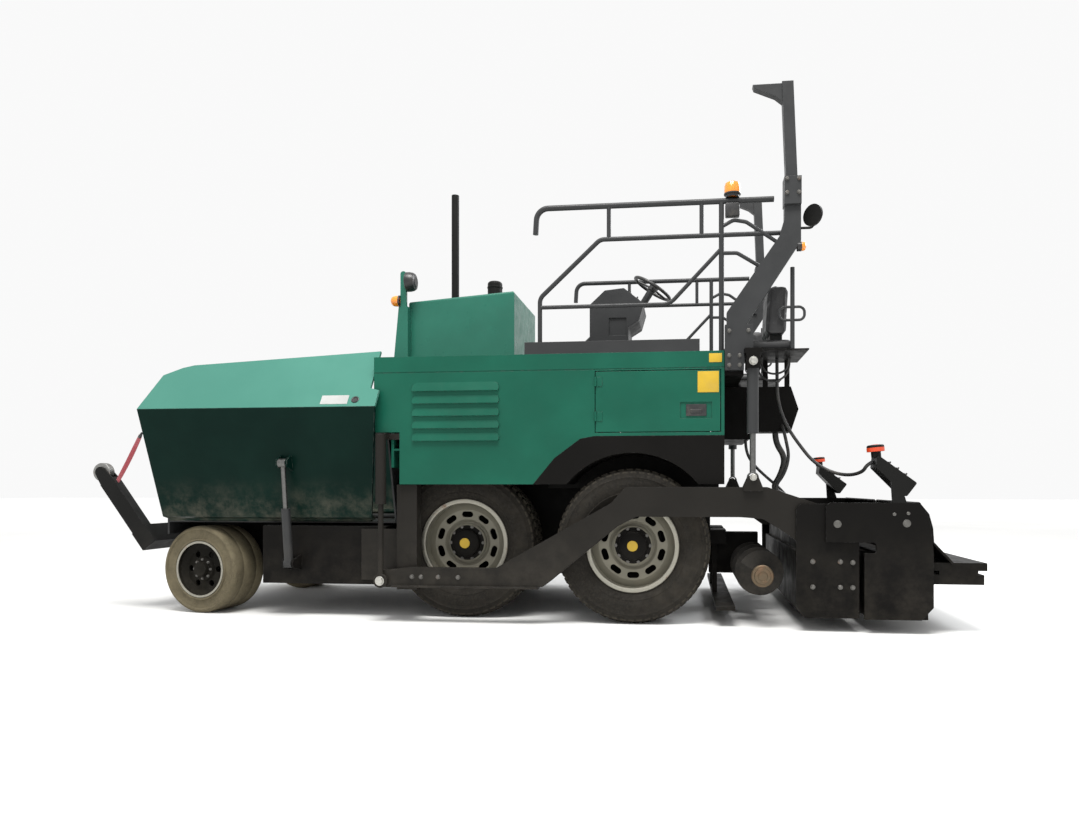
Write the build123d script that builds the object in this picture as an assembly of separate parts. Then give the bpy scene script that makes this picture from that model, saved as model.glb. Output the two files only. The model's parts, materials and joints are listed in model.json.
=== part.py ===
from build123d import *
import math
import os

# Wheeled asphalt paver, millimetres.
# +X points to the rear, -Y is the machine's left side, +Z is up, and z = 0 is the ground.
# Every left-hand piece is modelled at negative Y, and its twin is its mirror image.

# Overall
REAR_END = 3520

# Driven wheels, two on each side in tandem
DRIVE_RADIUS = 585
DRIVE_WIDTH = 385
DRIVE_RIM_RADIUS = 332
REAR_AXLE_X = 1040
FRONT_DRIVE_X = -300
REAR_WHEEL_Y = -897
FRONT_DRIVE_Y = -747

# Steered front wheels
STEER_RADIUS = 356
STEER_WIDTH = 350
STEER_RIM_RADIUS = 232
STEER_X = -2470
STEER_Y = -775
KINGPIN_Y = -660
STEER_REST = -9

# Chassis and tractor body
CHASSIS_Y = 400
CHASSIS_PLATE = 20
CHASSIS_NOSE_X = -2830
CHASSIS_TAIL_X = 1640
HOPPER_FLOOR_Z = 740
TUNNEL_ROOF_Z = 1180
BODY_Y = 1120
BODY_WALL = 20
BODY_FRONT_X = -820
COWL_FRONT_X = -951
COWL_Z = 1450
BODY_REAR_X = 1720
BODY_TOP_Z = 2030
BODY_FLOOR_Z = 1310
SIDE_FRONT_X = -747
BAND_SEAM_Z = 1908
SKIRT_Z = 1050
ARCH_RADIUS = 630
ARCH_Z = 654

# Side door behind the louvres
DOOR_X = (770, 1690)
DOOR_Z = (1440, 1890)
DOOR_GAP = 6
DOOR_HINGE_Y = BODY_Y + 10

# Hopper wings
WING_HINGE_Y = 905
WING_HINGE_Z = 775
WING_SECTION = [(920, 768), (1000, 790), (1250, 1640), (950, 2110)]
WING_SKIN = 22
WING_REAR_GAP = 12
HOPPER_BACK_X = -880

# Wing cylinders
WING_CYL_X = -1660
WING_CYL_BASE = (1090, 430)
WING_CYL_EYE = (1180, 1215)

# Push beam at the nose
PUSH_PIVOT = (-2850, 340)
PUSH_ANGLE = 54
PUSH_LENGTH = 1007                 # from the pivot to the rollers' axle
PUSH_ROLLER_RADIUS = 78
PUSH_HALF_WIDTH = 890
PUSH_FORK_PLATE = 12

# Tow arms and screed
TOW_PIN = (-860, 320)
TOW_PIN_RADIUS = 30
TOW_ARM_Y = (1128, 1188)
SCREED_Z = 100
SCREED_TOP_Z = 910
SCREED_X = (2220, 2655)
SCREED_SPLIT = 10                  # half the gap at the crown hinge
EXTENSION_X = (2710, 3130)
EXTENSION_PLATE_Y = (1218, 1243)
GUIDE_TUBE = (2800, 690)
BOLT_CENTRE = (2430, 410)          # bolts in the screed's end plates, x and z
BOLT_SPACING_X = 190
BOLT_SPACING_Z = 180
BOLT_HOLE_RADIUS = 11
WALKWAY_X = (3160, REAR_END)

# Screed lift cylinders
LIFT_X = 1920
LIFT_TOP_Z = 1935
LIFT_EYE_Z = 1100
LIFT_Y = (TOW_ARM_Y[0] + TOW_ARM_Y[1]) / 2

# Auger
AUGER_X = 1990
AUGER_Z = 385
AUGER_RADIUS = 180
AUGER_REACH = 1180

# Operator's station
DECK_X = (230, 1540)
DECK_TOP_Z = 2120
RAIL_Y = -1072
RAIL_TOP_Z = 3140
RAIL_MID_Z = 2890
RAIL_LOW_Z = 2390
POST_Y = -1130
POST_TOP_Z = 3950
POST_LEAN = 35
STEERING_HUB = (1160, -300, 2710)
STEERING_TILT = 32

FIT = 0.3


def block(x, y, z):
    """Box between two limits along each axis."""
    size = [abs(b - a) for a, b in (x, y, z)]
    middle = [(a + b) / 2 for a, b in (x, y, z)]
    return Pos(*middle) * Box(*size)


def bar(start, end, radius):
    """Round bar from one point to another."""
    axis = Vector(*end) - Vector(*start)
    return Solid.make_cylinder(radius, axis.length, Plane(origin=start, z_dir=axis))


def side_plate(outline, y):
    """Plate with an outline of (x, z) points, between two y limits."""
    face = Face(Wire.make_polygon([(px, y[0], pz) for px, pz in outline]))
    return Solid.extrude(face, Vector(0, y[1] - y[0], 0))


def cross_plate(outline, x):
    """Plate with an outline of (y, z) points, between two x limits."""
    face = Face(Wire.make_polygon([(x[0], py, pz) for py, pz in outline]))
    return Solid.extrude(face, Vector(x[1] - x[0], 0, 0))


def tube(points, radius, bend):
    """Round bar that follows points, with bends of one radius."""
    if len(points) == 2:
        return bar(points[0], points[1], radius)
    path = FilletPolyline(*points, radius=bend)
    section = Plane(origin=path @ 0, z_dir=path % 0) * Circle(radius)
    return sweep(section, path=path)


def turned(outline):
    """Ring turned about the Y axis from an outline of (y, r) points."""
    face = Face(Wire.make_polygon([(0, py, pr) for py, pr in outline]))
    return Solid.revolve(face, 360, Axis.Y)


def ring(radius, thickness):
    """Ring about the Z axis, with a 16-sided section."""
    turns = [math.radians(22.5 * (i + 0.5)) for i in range(16)]
    corners = [(radius + thickness * math.cos(t), 0, thickness * math.sin(t)) for t in turns]
    return Solid.revolve(Face(Wire.make_polygon(corners)), 360, Axis.Z)


def offset_line(points, distance):
    """Points of a line moved sideways by a distance, with mitred corners."""
    moved = []
    for i, point in enumerate(points):
        before = points[max(i - 1, 0)]
        after = points[min(i + 1, len(points) - 1)]
        normals = []
        for a, b in ((before, point), (point, after)):
            length = math.dist(a, b)
            if length > 0:
                normals.append(((a[1] - b[1]) / length, (b[0] - a[0]) / length))
        n1, n2 = normals[0], normals[-1]
        scale = distance / (1 + n1[0] * n2[0] + n1[1] * n2[1])
        moved.append((point[0] + (n1[0] + n2[0]) * scale, point[1] + (n1[1] + n2[1]) * scale))
    return moved


def twin(shape):
    """The same shape on the machine's right side."""
    return mirror(shape, about=Plane.XZ)


def pair(shape):
    """A left-hand shape and its twin, as two solids."""
    return Compound([*shape.solids(), *twin(shape).solids()])


def at_side(shape, side):
    """A left-hand shape on the side asked for."""
    return shape if side == "left" else twin(shape)


# Wheels

def make_drive_tyre(x, y):
    """Truck-type tyre with bulged side walls."""
    half = DRIVE_WIDTH / 2
    bead = half * 0.72
    crown = DRIVE_RADIUS - 12
    sides = []
    for sign in (-1, 1):
        sides.append([
            (0, sign * bead, DRIVE_RIM_RADIUS),
            (0, sign * bead, DRIVE_RIM_RADIUS + 20),
            (0, sign * half, (DRIVE_RIM_RADIUS + DRIVE_RADIUS) / 2),
            (0, sign * half * 0.93, DRIVE_RADIUS - 42),
            (0, sign * half * 0.80, crown),
        ])
    left, right = sides
    edges = [
        Line(left[0], left[1]),
        ThreePointArc(left[1], left[2], left[3]),
        Line(left[3], left[4]),
        ThreePointArc(left[4], (0, 0, DRIVE_RADIUS), right[4]),
        Line(right[4], right[3]),
        ThreePointArc(right[3], right[2], right[1]),
        Line(right[1], right[0]),
        Line(right[0], left[0]),
    ]
    profile = Face(Wire(edges))
    return Pos(x, y, DRIVE_RADIUS) * Solid.revolve(profile, 360, Axis.Y)


def make_drive_wheel(x, y):
    """Dished steel wheel with hand holes, and its planetary hub; y is negative, so outside is -Y."""
    half = DRIVE_WIDTH / 2
    bead = half * 0.72
    lip = 14
    barrel = turned([
        (-bead - lip, DRIVE_RIM_RADIUS - lip),
        (-bead - lip, DRIVE_RIM_RADIUS + 18),
        (-bead, DRIVE_RIM_RADIUS + 18),
        (-bead, DRIVE_RIM_RADIUS),
        (bead, DRIVE_RIM_RADIUS),
        (bead, DRIVE_RIM_RADIUS + 18),
        (bead + lip, DRIVE_RIM_RADIUS + 18),
        (bead + lip, DRIVE_RIM_RADIUS - lip),
    ])
    disc = turned([
        (-40, DRIVE_RIM_RADIUS - lip + 2),
        (-70, 262),
        (-58, 185),
        (-30, 165),
        (-30, 0),
        (-14, 0),
        (-14, 172),
        (-42, 196),
        (-54, 262),
        (-22, DRIVE_RIM_RADIUS - lip + 2),
    ])
    hole = Pos(0, -60, 226) * Rot(90, 0, 0) * extrude(SlotOverall(92, 46), amount=60, both=True)
    for i in range(10):
        disc = disc - Rot(0, i * 36, 0) * hole
    hub = turned([
        (-30, 0), (-30, 150), (-62, 150), (-70, 138), (-78, 112), (-124, 106), (-138, 88), (-142, 0),
    ])
    return Pos(x, y, DRIVE_RADIUS) * (barrel + disc + hub)


def make_drive_axle(x, y):
    """Final drive housing that is bolted to the chassis and carries one driven wheel."""
    inner_face = y - 14 + 2
    flange = bar((x, -CHASSIS_Y, DRIVE_RADIUS), (x, -CHASSIS_Y - 25, DRIVE_RADIUS), 200)
    housing = bar((x, -CHASSIS_Y - 25, DRIVE_RADIUS), (x, inner_face + 30, DRIVE_RADIUS), 130)
    nose = bar((x, inner_face + 30, DRIVE_RADIUS), (x, inner_face, DRIVE_RADIUS), 95)
    return flange + housing + nose


def make_steer_tyre():
    """Solid rubber tyre with a flat tread, set straight ahead."""
    half = STEER_WIDTH / 2
    tyre = turned([
        (-half, STEER_RIM_RADIUS), (-half, STEER_RADIUS), (half, STEER_RADIUS), (half, STEER_RIM_RADIUS),
    ])
    rims = tyre.edges().filter_by(GeomType.CIRCLE).sort_by(SortBy.RADIUS)[-2:]
    tyre = tyre.fillet(24, rims)
    return Pos(STEER_X, STEER_Y, STEER_RADIUS) * tyre


def make_steer_wheel():
    """Dished steel wheel with round holes and a capped hub, set straight ahead."""
    half = STEER_WIDTH / 2
    ring = turned([
        (-half + 6, STEER_RIM_RADIUS - 18), (-half + 6, STEER_RIM_RADIUS),
        (half - 6, STEER_RIM_RADIUS), (half - 6, STEER_RIM_RADIUS - 18),
    ])
    disc = turned([
        (-half + 40, STEER_RIM_RADIUS - 17), (-half + 66, 170), (-half + 60, 105), (-half + 40, 92),
        (-half + 40, 62), (-half + 8, 56), (-half + 4, 0),
        (-half + 60, 0), (-half + 60, 70), (-half + 76, 105), (-half + 82, 170), (-half + 58, STEER_RIM_RADIUS - 17),
    ])
    hole = bar((0, -half, 135), (0, 0, 135), 26)
    for i in range(6):
        disc = disc - Rot(0, i * 60 + 30, 0) * hole
    return Pos(STEER_X, STEER_Y, STEER_RADIUS) * (ring + disc)


def make_knuckle():
    """Steering knuckle: a fork on the kingpin, and the spindle of the wheel."""
    pin = bar((STEER_X, KINGPIN_Y, 250), (STEER_X, KINGPIN_Y, 462), 20)
    lower = bar((STEER_X, KINGPIN_Y, 250), (STEER_X, KINGPIN_Y, 274), 50)
    upper = bar((STEER_X, KINGPIN_Y, 438), (STEER_X, KINGPIN_Y, 462), 50)
    web_y = (KINGPIN_Y - 74, KINGPIN_Y - 52)
    web = block((STEER_X - 50, STEER_X + 50), web_y, (250, 462))
    arms = block((STEER_X - 50, STEER_X + 50), (web_y[0], KINGPIN_Y), (250, 274))
    arms += block((STEER_X - 50, STEER_X + 50), (web_y[0], KINGPIN_Y), (438, 462))
    hub_face = STEER_Y - STEER_WIDTH / 2 + 60
    spindle = bar((STEER_X, web_y[0], STEER_RADIUS), (STEER_X, hub_face + 1, STEER_RADIUS), 36)
    return pin + lower + upper + web + arms + spindle


def make_front_axle():
    """Beam axle under the chassis, with a boss for a kingpin at each end."""
    beam = block((STEER_X - 60, STEER_X + 60), (-620, 620), (302, 410))
    saddle = block((STEER_X - 90, STEER_X + 90), (-200, 200), (410, 430))
    axle = beam + saddle
    for side in (-1, 1):
        boss = bar((STEER_X, side * -KINGPIN_Y, 282), (STEER_X, side * -KINGPIN_Y, 430), 44)
        neck = block((STEER_X - 40, STEER_X + 40), (side * 600, side * -KINGPIN_Y), (302, 410))
        hole = bar((STEER_X, side * -KINGPIN_Y, 270), (STEER_X, side * -KINGPIN_Y, 440), 20 + FIT)
        axle = axle + boss + neck - hole
    return axle


# Chassis, hopper floor and conveyor

def make_chassis():
    """Two deep side plates joined by a belly plate, the tunnel roof and box outriggers."""
    outline = [
        (CHASSIS_NOSE_X, 430), (CHASSIS_NOSE_X, HOPPER_FLOOR_Z), (HOPPER_BACK_X + 15, HOPPER_FLOOR_Z),
        (HOPPER_BACK_X + 15, TUNNEL_ROOF_Z), (CHASSIS_TAIL_X, TUNNEL_ROOF_Z), (CHASSIS_TAIL_X, 640),
        (CHASSIS_TAIL_X - 160, 300), (-1950, 300), (-2060, 430),
    ]
    plate_y = (-CHASSIS_Y, -CHASSIS_Y + CHASSIS_PLATE)
    inner = CHASSIS_Y - CHASSIS_PLATE
    frame = side_plate(outline, plate_y) + twin(side_plate(outline, plate_y))
    frame += block((-1940, CHASSIS_TAIL_X - 170), (-inner, inner), (300, 315))
    frame += block((HOPPER_BACK_X + 15, CHASSIS_TAIL_X), (-inner, inner), (TUNNEL_ROOF_Z - 20, TUNNEL_ROOF_Z))
    frame += block((CHASSIS_NOSE_X, -2060), (-inner, inner), (430, 445))
    side_box = block((-1940, -910), (-980, -CHASSIS_Y), (260, 720))
    frame = frame + side_box + twin(side_box)
    nose = side_plate([
        (CHASSIS_NOSE_X - 60, 300), (CHASSIS_NOSE_X - 60, 400), (CHASSIS_NOSE_X, 470),
        (CHASSIS_NOSE_X + 120, 470), (CHASSIS_NOSE_X + 120, 300),
    ], (-CHASSIS_Y, -CHASSIS_Y + CHASSIS_PLATE))
    pin = bar((PUSH_PIVOT[0], -CHASSIS_Y, PUSH_PIVOT[1]), (PUSH_PIVOT[0], -310, PUSH_PIVOT[1]), 22)
    base = make_wing_cylinder_base()
    return frame + nose + twin(nose) + pin + twin(pin) + base + twin(base)


def make_wing_cylinder_base():
    """Pair of ears on the side box, with the pin that a wing cylinder stands on."""
    y, z = WING_CYL_BASE
    ears = Part()
    for side in (-1, 1):
        x = WING_CYL_X + side * 42
        ears += side_free_ear(x, -y, z)
    pin = bar((WING_CYL_X - 48, -y, z), (WING_CYL_X + 48, -y, z), 18)
    return ears + pin


def side_free_ear(x, y, z):
    """Ear that stands out sideways from the side box towards a pin along X."""
    outline = [(-980, z - 60), (y - 10, z - 34), (y - 34, z), (y - 10, z + 34), (-980, z + 60)]
    return cross_plate(outline, (x - 6, x + 6))


def make_hopper_floor():
    """Fixed floor plates beside the conveyors, the hopper's back wall and the apron at the front."""
    plate = block((CHASSIS_NOSE_X, HOPPER_BACK_X), (-868, -380), (HOPPER_FLOOR_Z, HOPPER_FLOOR_Z + 15))
    floor = plate + twin(plate)
    wall = cross_plate([
        (-868, HOPPER_FLOOR_Z), (-1060, 1500), (-1060, 1640), (-900, 1998), (900, 1998), (1060, 1640),
        (1060, 1500), (868, HOPPER_FLOOR_Z), (380, HOPPER_FLOOR_Z), (380, 1150), (-380, 1150),
        (-380, HOPPER_FLOOR_Z),
    ], (HOPPER_BACK_X, HOPPER_BACK_X + 15))
    apron = cross_plate([(-868, 640), (-868, 900), (868, 900), (868, 640)],
                        (CHASSIS_NOSE_X - 16, CHASSIS_NOSE_X))
    return floor + wall + apron


def make_conveyor():
    """Conveyor deck through the tunnel, with cross bars that two pairs of chains would pull."""
    deck = block((CHASSIS_NOSE_X + 10, CHASSIS_TAIL_X), (-380, 380), (680, 692))
    for i in range(22):
        x = CHASSIS_NOSE_X + 80 + i * 200
        for side in (-1, 1):
            deck += block((x, x + 30), (side * 30, side * 350), (692, 716))
    for side in (-1, 0, 1):
        y = side * 365
        deck += block((CHASSIS_NOSE_X + 20, CHASSIS_TAIL_X - 10), (y - 15, y + 15), (692, 724))
    return deck


# Tractor body

def side_outline():
    """Outline of the green side panel, with the step for the levelling cylinder."""
    return [
        (COWL_FRONT_X, BODY_TOP_Z), (BODY_REAR_X, BODY_TOP_Z), (BODY_REAR_X, 1410), (760, 1410),
        (654, 1391), (458, 1246), (295, SKIRT_Z), (SIDE_FRONT_X, SKIRT_Z), (SIDE_FRONT_X, COWL_Z),
        (COWL_FRONT_X, COWL_Z),
    ]


def make_louvres():
    """Five rows of hooded louvres with rounded ends on the front side panel."""
    rows = Part()
    y = -BODY_Y
    start, end = -645, 35
    for i in range(5):
        z = 1795 - i * 95
        outline = [(y, z + 34), (y - 20, z - 30), (y - 20, z - 34), (y, z - 34)]
        hood = cross_plate(outline, (start, end))
        rounded = Pos((start + end) / 2, y, z - 12) * Rot(90, 0, 0) * extrude(
            SlotOverall(end - start, 92), amount=60, both=True)
        rows += hood & rounded
    return rows


def make_body_shell():
    """Hollow tractor body: side panels, deck, floor and end walls, open where the side doors are."""
    panel = side_plate(side_outline(), (-BODY_Y, -BODY_Y + BODY_WALL))
    opening = block(
        (DOOR_X[0] - DOOR_GAP, DOOR_X[1] + DOOR_GAP), (-BODY_Y - 5, -BODY_Y + BODY_WALL + 5),
        (DOOR_Z[0] - DOOR_GAP, DOOR_Z[1] + DOOR_GAP))
    seam = block((COWL_FRONT_X - 5, BODY_REAR_X + 5), (-BODY_Y - 5, -BODY_Y + 3),
                 (BAND_SEAM_Z - 3, BAND_SEAM_Z + 3))
    panel = panel - opening - seam + make_louvres()
    inner = BODY_Y - BODY_WALL
    shell = panel + twin(panel)
    shell += block((COWL_FRONT_X, BODY_REAR_X), (-inner, inner), (BODY_TOP_Z - 25, BODY_TOP_Z))
    shell += block((BODY_FRONT_X, BODY_REAR_X), (-inner, inner), (BODY_FLOOR_Z, BODY_FLOOR_Z + 15))
    shell += block((BODY_FRONT_X, BODY_FRONT_X + 20), (-inner, inner), (TUNNEL_ROOF_Z, BODY_TOP_Z - 10))
    shell += block((BODY_REAR_X - 20, BODY_REAR_X), (-inner, inner), (TUNNEL_ROOF_Z, BODY_TOP_Z - 10))
    return shell


def make_fenders():
    """Dark wheel arches below the side panels over the rear wheels."""
    plate = side_plate([
        (295, SKIRT_Z), (458, 1246), (654, 1391), (760, 1410), (BODY_REAR_X, 1410),
        (BODY_REAR_X, SKIRT_Z),
    ], (-BODY_Y, -BODY_Y + BODY_WALL))
    arch = bar((REAR_AXLE_X, -BODY_Y - 10, ARCH_Z), (REAR_AXLE_X, -600, ARCH_Z), ARCH_RADIUS)
    outer = bar((REAR_AXLE_X, -BODY_Y + 2, ARCH_Z), (REAR_AXLE_X, -690, ARCH_Z), ARCH_RADIUS + 12)
    guard = outer - arch
    guard = guard & block((200, 1900), (-BODY_Y + 1, -680), (SKIRT_Z, 1400))
    return pair(plate - arch + guard)


def make_side_door():
    """Hinged side door behind the louvres, with two hinge barrels and a latch recess."""
    door = block(DOOR_X, (-BODY_Y, -BODY_Y + BODY_WALL), DOOR_Z)
    recess = block((1397, 1630), (-BODY_Y - 1, -BODY_Y + 8), (1535, 1656))
    door = door - recess
    for z in (1520, 1780):
        hinge = bar((DOOR_X[0], -DOOR_HINGE_Y, z), (DOOR_X[0], -DOOR_HINGE_Y, z + 70), 8)
        leaf = block((DOOR_X[0], DOOR_X[0] + 50), (-BODY_Y - 4, -BODY_Y), (z, z + 70))
        door = door + hinge + leaf
    return door


def make_engine():
    """Engine as one plain block at its real place."""
    return block((-700, 420), (-360, 360), (BODY_FLOOR_Z + 15, 1960))


def hood_outline():
    """Side view of the hood, with its sloped top."""
    return [(-920, BODY_TOP_Z), (-920, 2620), (0, 2690), (0, BODY_TOP_Z)]


def make_hood():
    """Engine hood with a sloped top, the tapered front bulkhead and its two round-topped lamp fins."""
    outline = hood_outline()
    inner = [(-900, BODY_TOP_Z), (-900, 2600), (-20, 2668), (-20, BODY_TOP_Z)]
    shell = side_plate(outline, (-450, 450))
    top = shell.edges().filter_by(lambda e: e.center().Z > 2600)
    shell = shell.fillet(22, top)
    hood = shell - side_plate(inner, (-430, 430))
    bulkhead = side_plate([(-1030, BODY_TOP_Z), (-980, 2560), (-900, 2560), (-900, BODY_TOP_Z)], (-535, 535))
    fin = side_plate([(-965, 2550), (-965, 2835), (-915, 2835), (-915, 2550)], (-535, -505))
    fin += bar((-940, -535, 2835), (-940, -505, 2835), 25)
    return hood + bulkhead + fin + twin(fin)


def make_exhaust():
    """Exhaust stack on a flange."""
    x = -650
    foot = bar((x, 0, 2632), (x, 0, 2664), 85)
    pipe = bar((x, 0, 2664), (x, 0, 3690), 34)
    bore = bar((x, 0, 3500), (x, 0, 3700), 29)
    return foot + pipe - bore - side_plate(hood_outline(), (-450, 450))


def make_air_cleaner():
    """Air pre-cleaner bowl on a stem, with a rolled top edge and a lip where its cap closes."""
    x = -280
    stem = bar((x, 0, 2660), (x, 0, 2760), 40)
    bowl = bar((x, 0, 2752), (x, 0, 2892), 66)
    crown = bowl.edges().filter_by(GeomType.CIRCLE).sort_by(Axis.Z)[-1:]
    bowl = bowl.fillet(26, crown)
    lip = bar((x, 0, 2832), (x, 0, 2842), 70)
    return stem + bowl + lip - side_plate(hood_outline(), (-450, 450))


def make_lamps():
    """Work lamps and marker lamps on the front fins, side lamps on the roof beams and the beacon."""
    work = bar((-915, -520, 2770), (-830, -520, 2770), 82)
    marker = bar((-1050, -520, 2610), (-965, -520, 2610), 47)
    side_lamp = bar((2236, POST_Y, 2767), (2300, POST_Y, 2767), 34) - make_roof_beam()
    foot = bar((1780, RAIL_Y, RAIL_TOP_Z + 21), (1780, RAIL_Y, RAIL_TOP_Z + 45), 50)
    dome = bar((1780, RAIL_Y, RAIL_TOP_Z + 45), (1780, RAIL_Y, RAIL_TOP_Z + 140), 62)
    dome = dome.fillet(30, dome.edges().filter_by(GeomType.CIRCLE).sort_by(Axis.Z)[-1:])
    socket = block((1728, 1832), (RAIL_Y - 30, RAIL_Y + 30), (RAIL_TOP_Z - 121, RAIL_TOP_Z - 21))
    lamps = [*pair(work).solids(), *pair(marker).solids(), *pair(side_lamp).solids()]
    return Compound([*lamps, *(foot + dome).solids(), *socket.solids()])


# Operator's station

def make_operator_deck():
    """Deck slab that stands on the body."""
    return block(DECK_X, (-BODY_Y, BODY_Y), (BODY_TOP_Z, DECK_TOP_Z))


def make_handrails():
    """Tube rails with curved front ends on both sides of the deck, and the braces to the roof beams."""
    y = RAIL_Y
    top = tube([(307, y, 2945), (318, y, RAIL_TOP_Z), (2080, y, RAIL_TOP_Z)], 21, 90)
    mid = tube([(340, y, DECK_TOP_Z), (340, y, 2460), (800, y, RAIL_MID_Z), (2150, y, RAIL_MID_Z)], 17, 80)
    low = tube([(340, y, RAIL_LOW_Z), (1320, y, RAIL_LOW_Z), (1700, y, 2790)], 15, 120)
    rails = top + mid + low
    for x in (865, 1555):
        rails += bar((x, y, RAIL_MID_Z), (x, y, RAIL_TOP_Z), 16)
    rails += bar((1700, y, BODY_TOP_Z), (1700, y, RAIL_TOP_Z), 19)
    near_beam = y - 13
    rails += tube([(1700, y, 2950), (1790, y, 2998), (1880, y, 2980), (2150, near_beam, 2786)], 14, 60)
    rails += tube([(1700, y, 2756), (1814, y, 2754), (2031, near_beam, 2614)], 14, 60)
    rails += bar((2213, y, DECK_TOP_Z - 80), (2213, y, 2635), 16)
    rails += tube([(2213, y, 2250), (2299, y, 2250), (2299, y, 2346), (2213, y, 2346)], 10, 40)
    rails += tube([(2213, y, 2250), (2118, y, 2250), (2118, y, 2346), (2213, y, 2346)], 10, 40)
    return pair(rails)


def make_console():
    """Control console with a raked panel, a step under it, a side recess, and the steering column."""
    body = side_plate([
        (651, DECK_TOP_Z), (651, 2534), (776, 2650), (934, 2666), (1098, 2534), (1058, 2397),
        (971, 2344), (971, DECK_TOP_Z),
    ], (-520, -80))
    corners = body.edges().filter_by(Axis.Y).filter_by(lambda e: e.center().Z > 2390)
    body = body.fillet(16, corners)
    recess = block((810, 995 - 40), (-521, -508), (2278, 2422))
    hub = Vector(*STEERING_HUB)
    tilt = math.radians(STEERING_TILT)
    axis = Vector(math.sin(tilt), 0, math.cos(tilt))
    foot = hub - axis * 205
    column = bar(tuple(foot), tuple(hub - axis * 22), 30)
    return body - recess + column


def make_steering_wheel():
    """Steering wheel with three spokes and a knob, square to its tilted column."""
    wheel = Solid.make_cylinder(36, 40, Plane(origin=(0, 0, -20)))
    for i in range(3):
        wheel += Rot(0, 0, 40 + i * 120) * bar((20, 0, 0), (165, 0, 0), 9)
    wheel += ring(168, 14)
    wheel += bar((0, 168, 0), (0, 168, 40), 8)
    wheel += bar((0, 168, 40), (0, 168, 66), 18)
    return Pos(*STEERING_HUB) * Rot(0, STEERING_TILT, 0) * wheel


def make_seats():
    """Two seats on the rear side platforms, each a cushion and an upright back with rounded edges."""
    y = (-1045, -640)
    cushion = block((1880, 2250), y, (2040, 2130))
    cushion = cushion.fillet(24, cushion.edges())
    back = side_plate([(2030, 2130), (2180, 2130), (2205, 2420), (2180, 2540), (2060, 2550), (2010, 2420)], y)
    back = back.fillet(20, back.edges())
    stem = block((2070, 2150), (y[0] + 120, y[1] - 120), (2110, 2160))
    return pair(cushion + back + stem)


def make_roof_beam():
    """Diagonal beam that carries a roof post, with its plate at the machine's rear frame."""
    y = (POST_Y - 30, POST_Y + 30)
    plate = side_plate([
        (1722, 1880), (1722, 2210), (1925, 2210), (1925, 2032), (1858, 2032), (1858, 1880),
    ], y)
    beam = side_plate([
        (1735, 2200), (1735, 2300), (2110, 2840), (2145, 2960), (2145, 3060), (2262, 3060), (2262, 2800),
        (1870, 2200),
    ], y)
    return plate + beam


def make_canopy_posts():
    """Posts for a folding roof: a diagonal beam, a clamped socket, a leaning square mast, a top bracket."""
    socket = block((2142, 2262), (POST_Y - 57, POST_Y + 57), (3060, 3260))
    mast = side_plate([
        (2162, 3100), (2242, 3100), (2242 - POST_LEAN, POST_TOP_Z), (2162 - POST_LEAN, POST_TOP_Z),
    ], (POST_Y - 40, POST_Y + 40))
    bracket = side_plate([(1920, 3940), (2130, 3940), (2140, 3800), (2080, 3850), (1930, 3915)],
                         (POST_Y - 30, POST_Y + 30))
    return pair(make_roof_beam() + socket + mast + bracket)


def make_rear_frame():
    """Cross beam behind the body, side platforms, lift cylinder hangers, a valve box and a junction box."""
    beam = block((BODY_REAR_X, 1860), (-1100, 1100), (1850, 2030))
    hanger = block((1860, 1985), (-1216, -900), (1992, 2030))
    for y in (-1216, -1114):
        hanger += block((LIFT_X - 50, LIFT_X + 50), (y, y + 12), (1885, 1992))
    pin = bar((LIFT_X, -1216, LIFT_TOP_Z), (LIFT_X, -1102, LIFT_TOP_Z), 20)
    platform = block((1830, 2330), (-1090, -500), (2030, 2040))
    shelf = hanger + pin + platform
    valves = block((BODY_REAR_X, 1960), (-420, 420), (1420, 1850))
    junction = side_plate([(2020, 1470), (2020, 1830), (2270, 1830), (2330, 1650), (2270, 1470)], (-570, -370))
    for x in (2050, 2220):
        junction += block((x, x + 40), (-570, -560), (1800, 2032))
    return beam + shelf + twin(shelf) + valves + junction


def make_mirrors():
    """Round mirrors, half turned, on bent arms behind the roof beams."""
    arm = tube([(2263, POST_Y, 2900), (2350, POST_Y, 2900), (2362, POST_Y, 2990)], 9, 30)
    face = Plane(origin=(2356, POST_Y + 6, 2990), x_dir=(1, -1, 0), z_dir=(-1, -1, 0))
    return pair(arm + extrude(face * Circle(78), amount=20))


# Hopper wings and their cylinders

def wing_outline():
    """Side view of a folded wing, with its cut-back front corner and a notch for the cowl at the rear."""
    rear = HOPPER_BACK_X - WING_REAR_GAP
    notch = COWL_FRONT_X - 14
    return [
        (-2790, 740), (-2830, 1640), (-2740, 1930), (-2600, 1992), (-2510, 2014), (notch, 2107),
        (notch, 1790), (rear, 1770), (rear, 1640), (-1030, 740),
    ]


def make_wing():
    """Left wing, folded up: a floor strip, a leaning side and a top panel that leans inwards."""
    outer = [(-py, pz) for py, pz in WING_SECTION]
    inner = offset_line(outer, -WING_SKIN)
    section = outer + inner[::-1]
    skin = cross_plate(section, (-2840, HOPPER_BACK_X - WING_REAR_GAP))
    wing = skin & side_plate(wing_outline(), (-1400, -700))
    barrel = bar((-2785, -WING_HINGE_Y, WING_HINGE_Z), (-1060, -WING_HINGE_Y, WING_HINGE_Z), 24)
    wing = wing + barrel
    for x in (WING_CYL_X - 40, WING_CYL_X + 40):
        y, z = WING_CYL_EYE
        ear = cross_plate([(-1118, z + 80), (-y - 26, z + 22), (-y - 26, z - 22), (-1096, z - 70)],
                          (x - 6, x + 6))
        wing += ear
    pin = bar((WING_CYL_X - 46, -WING_CYL_EYE[0], WING_CYL_EYE[1]),
              (WING_CYL_X + 46, -WING_CYL_EYE[0], WING_CYL_EYE[1]), 12)
    return wing + pin


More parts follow.
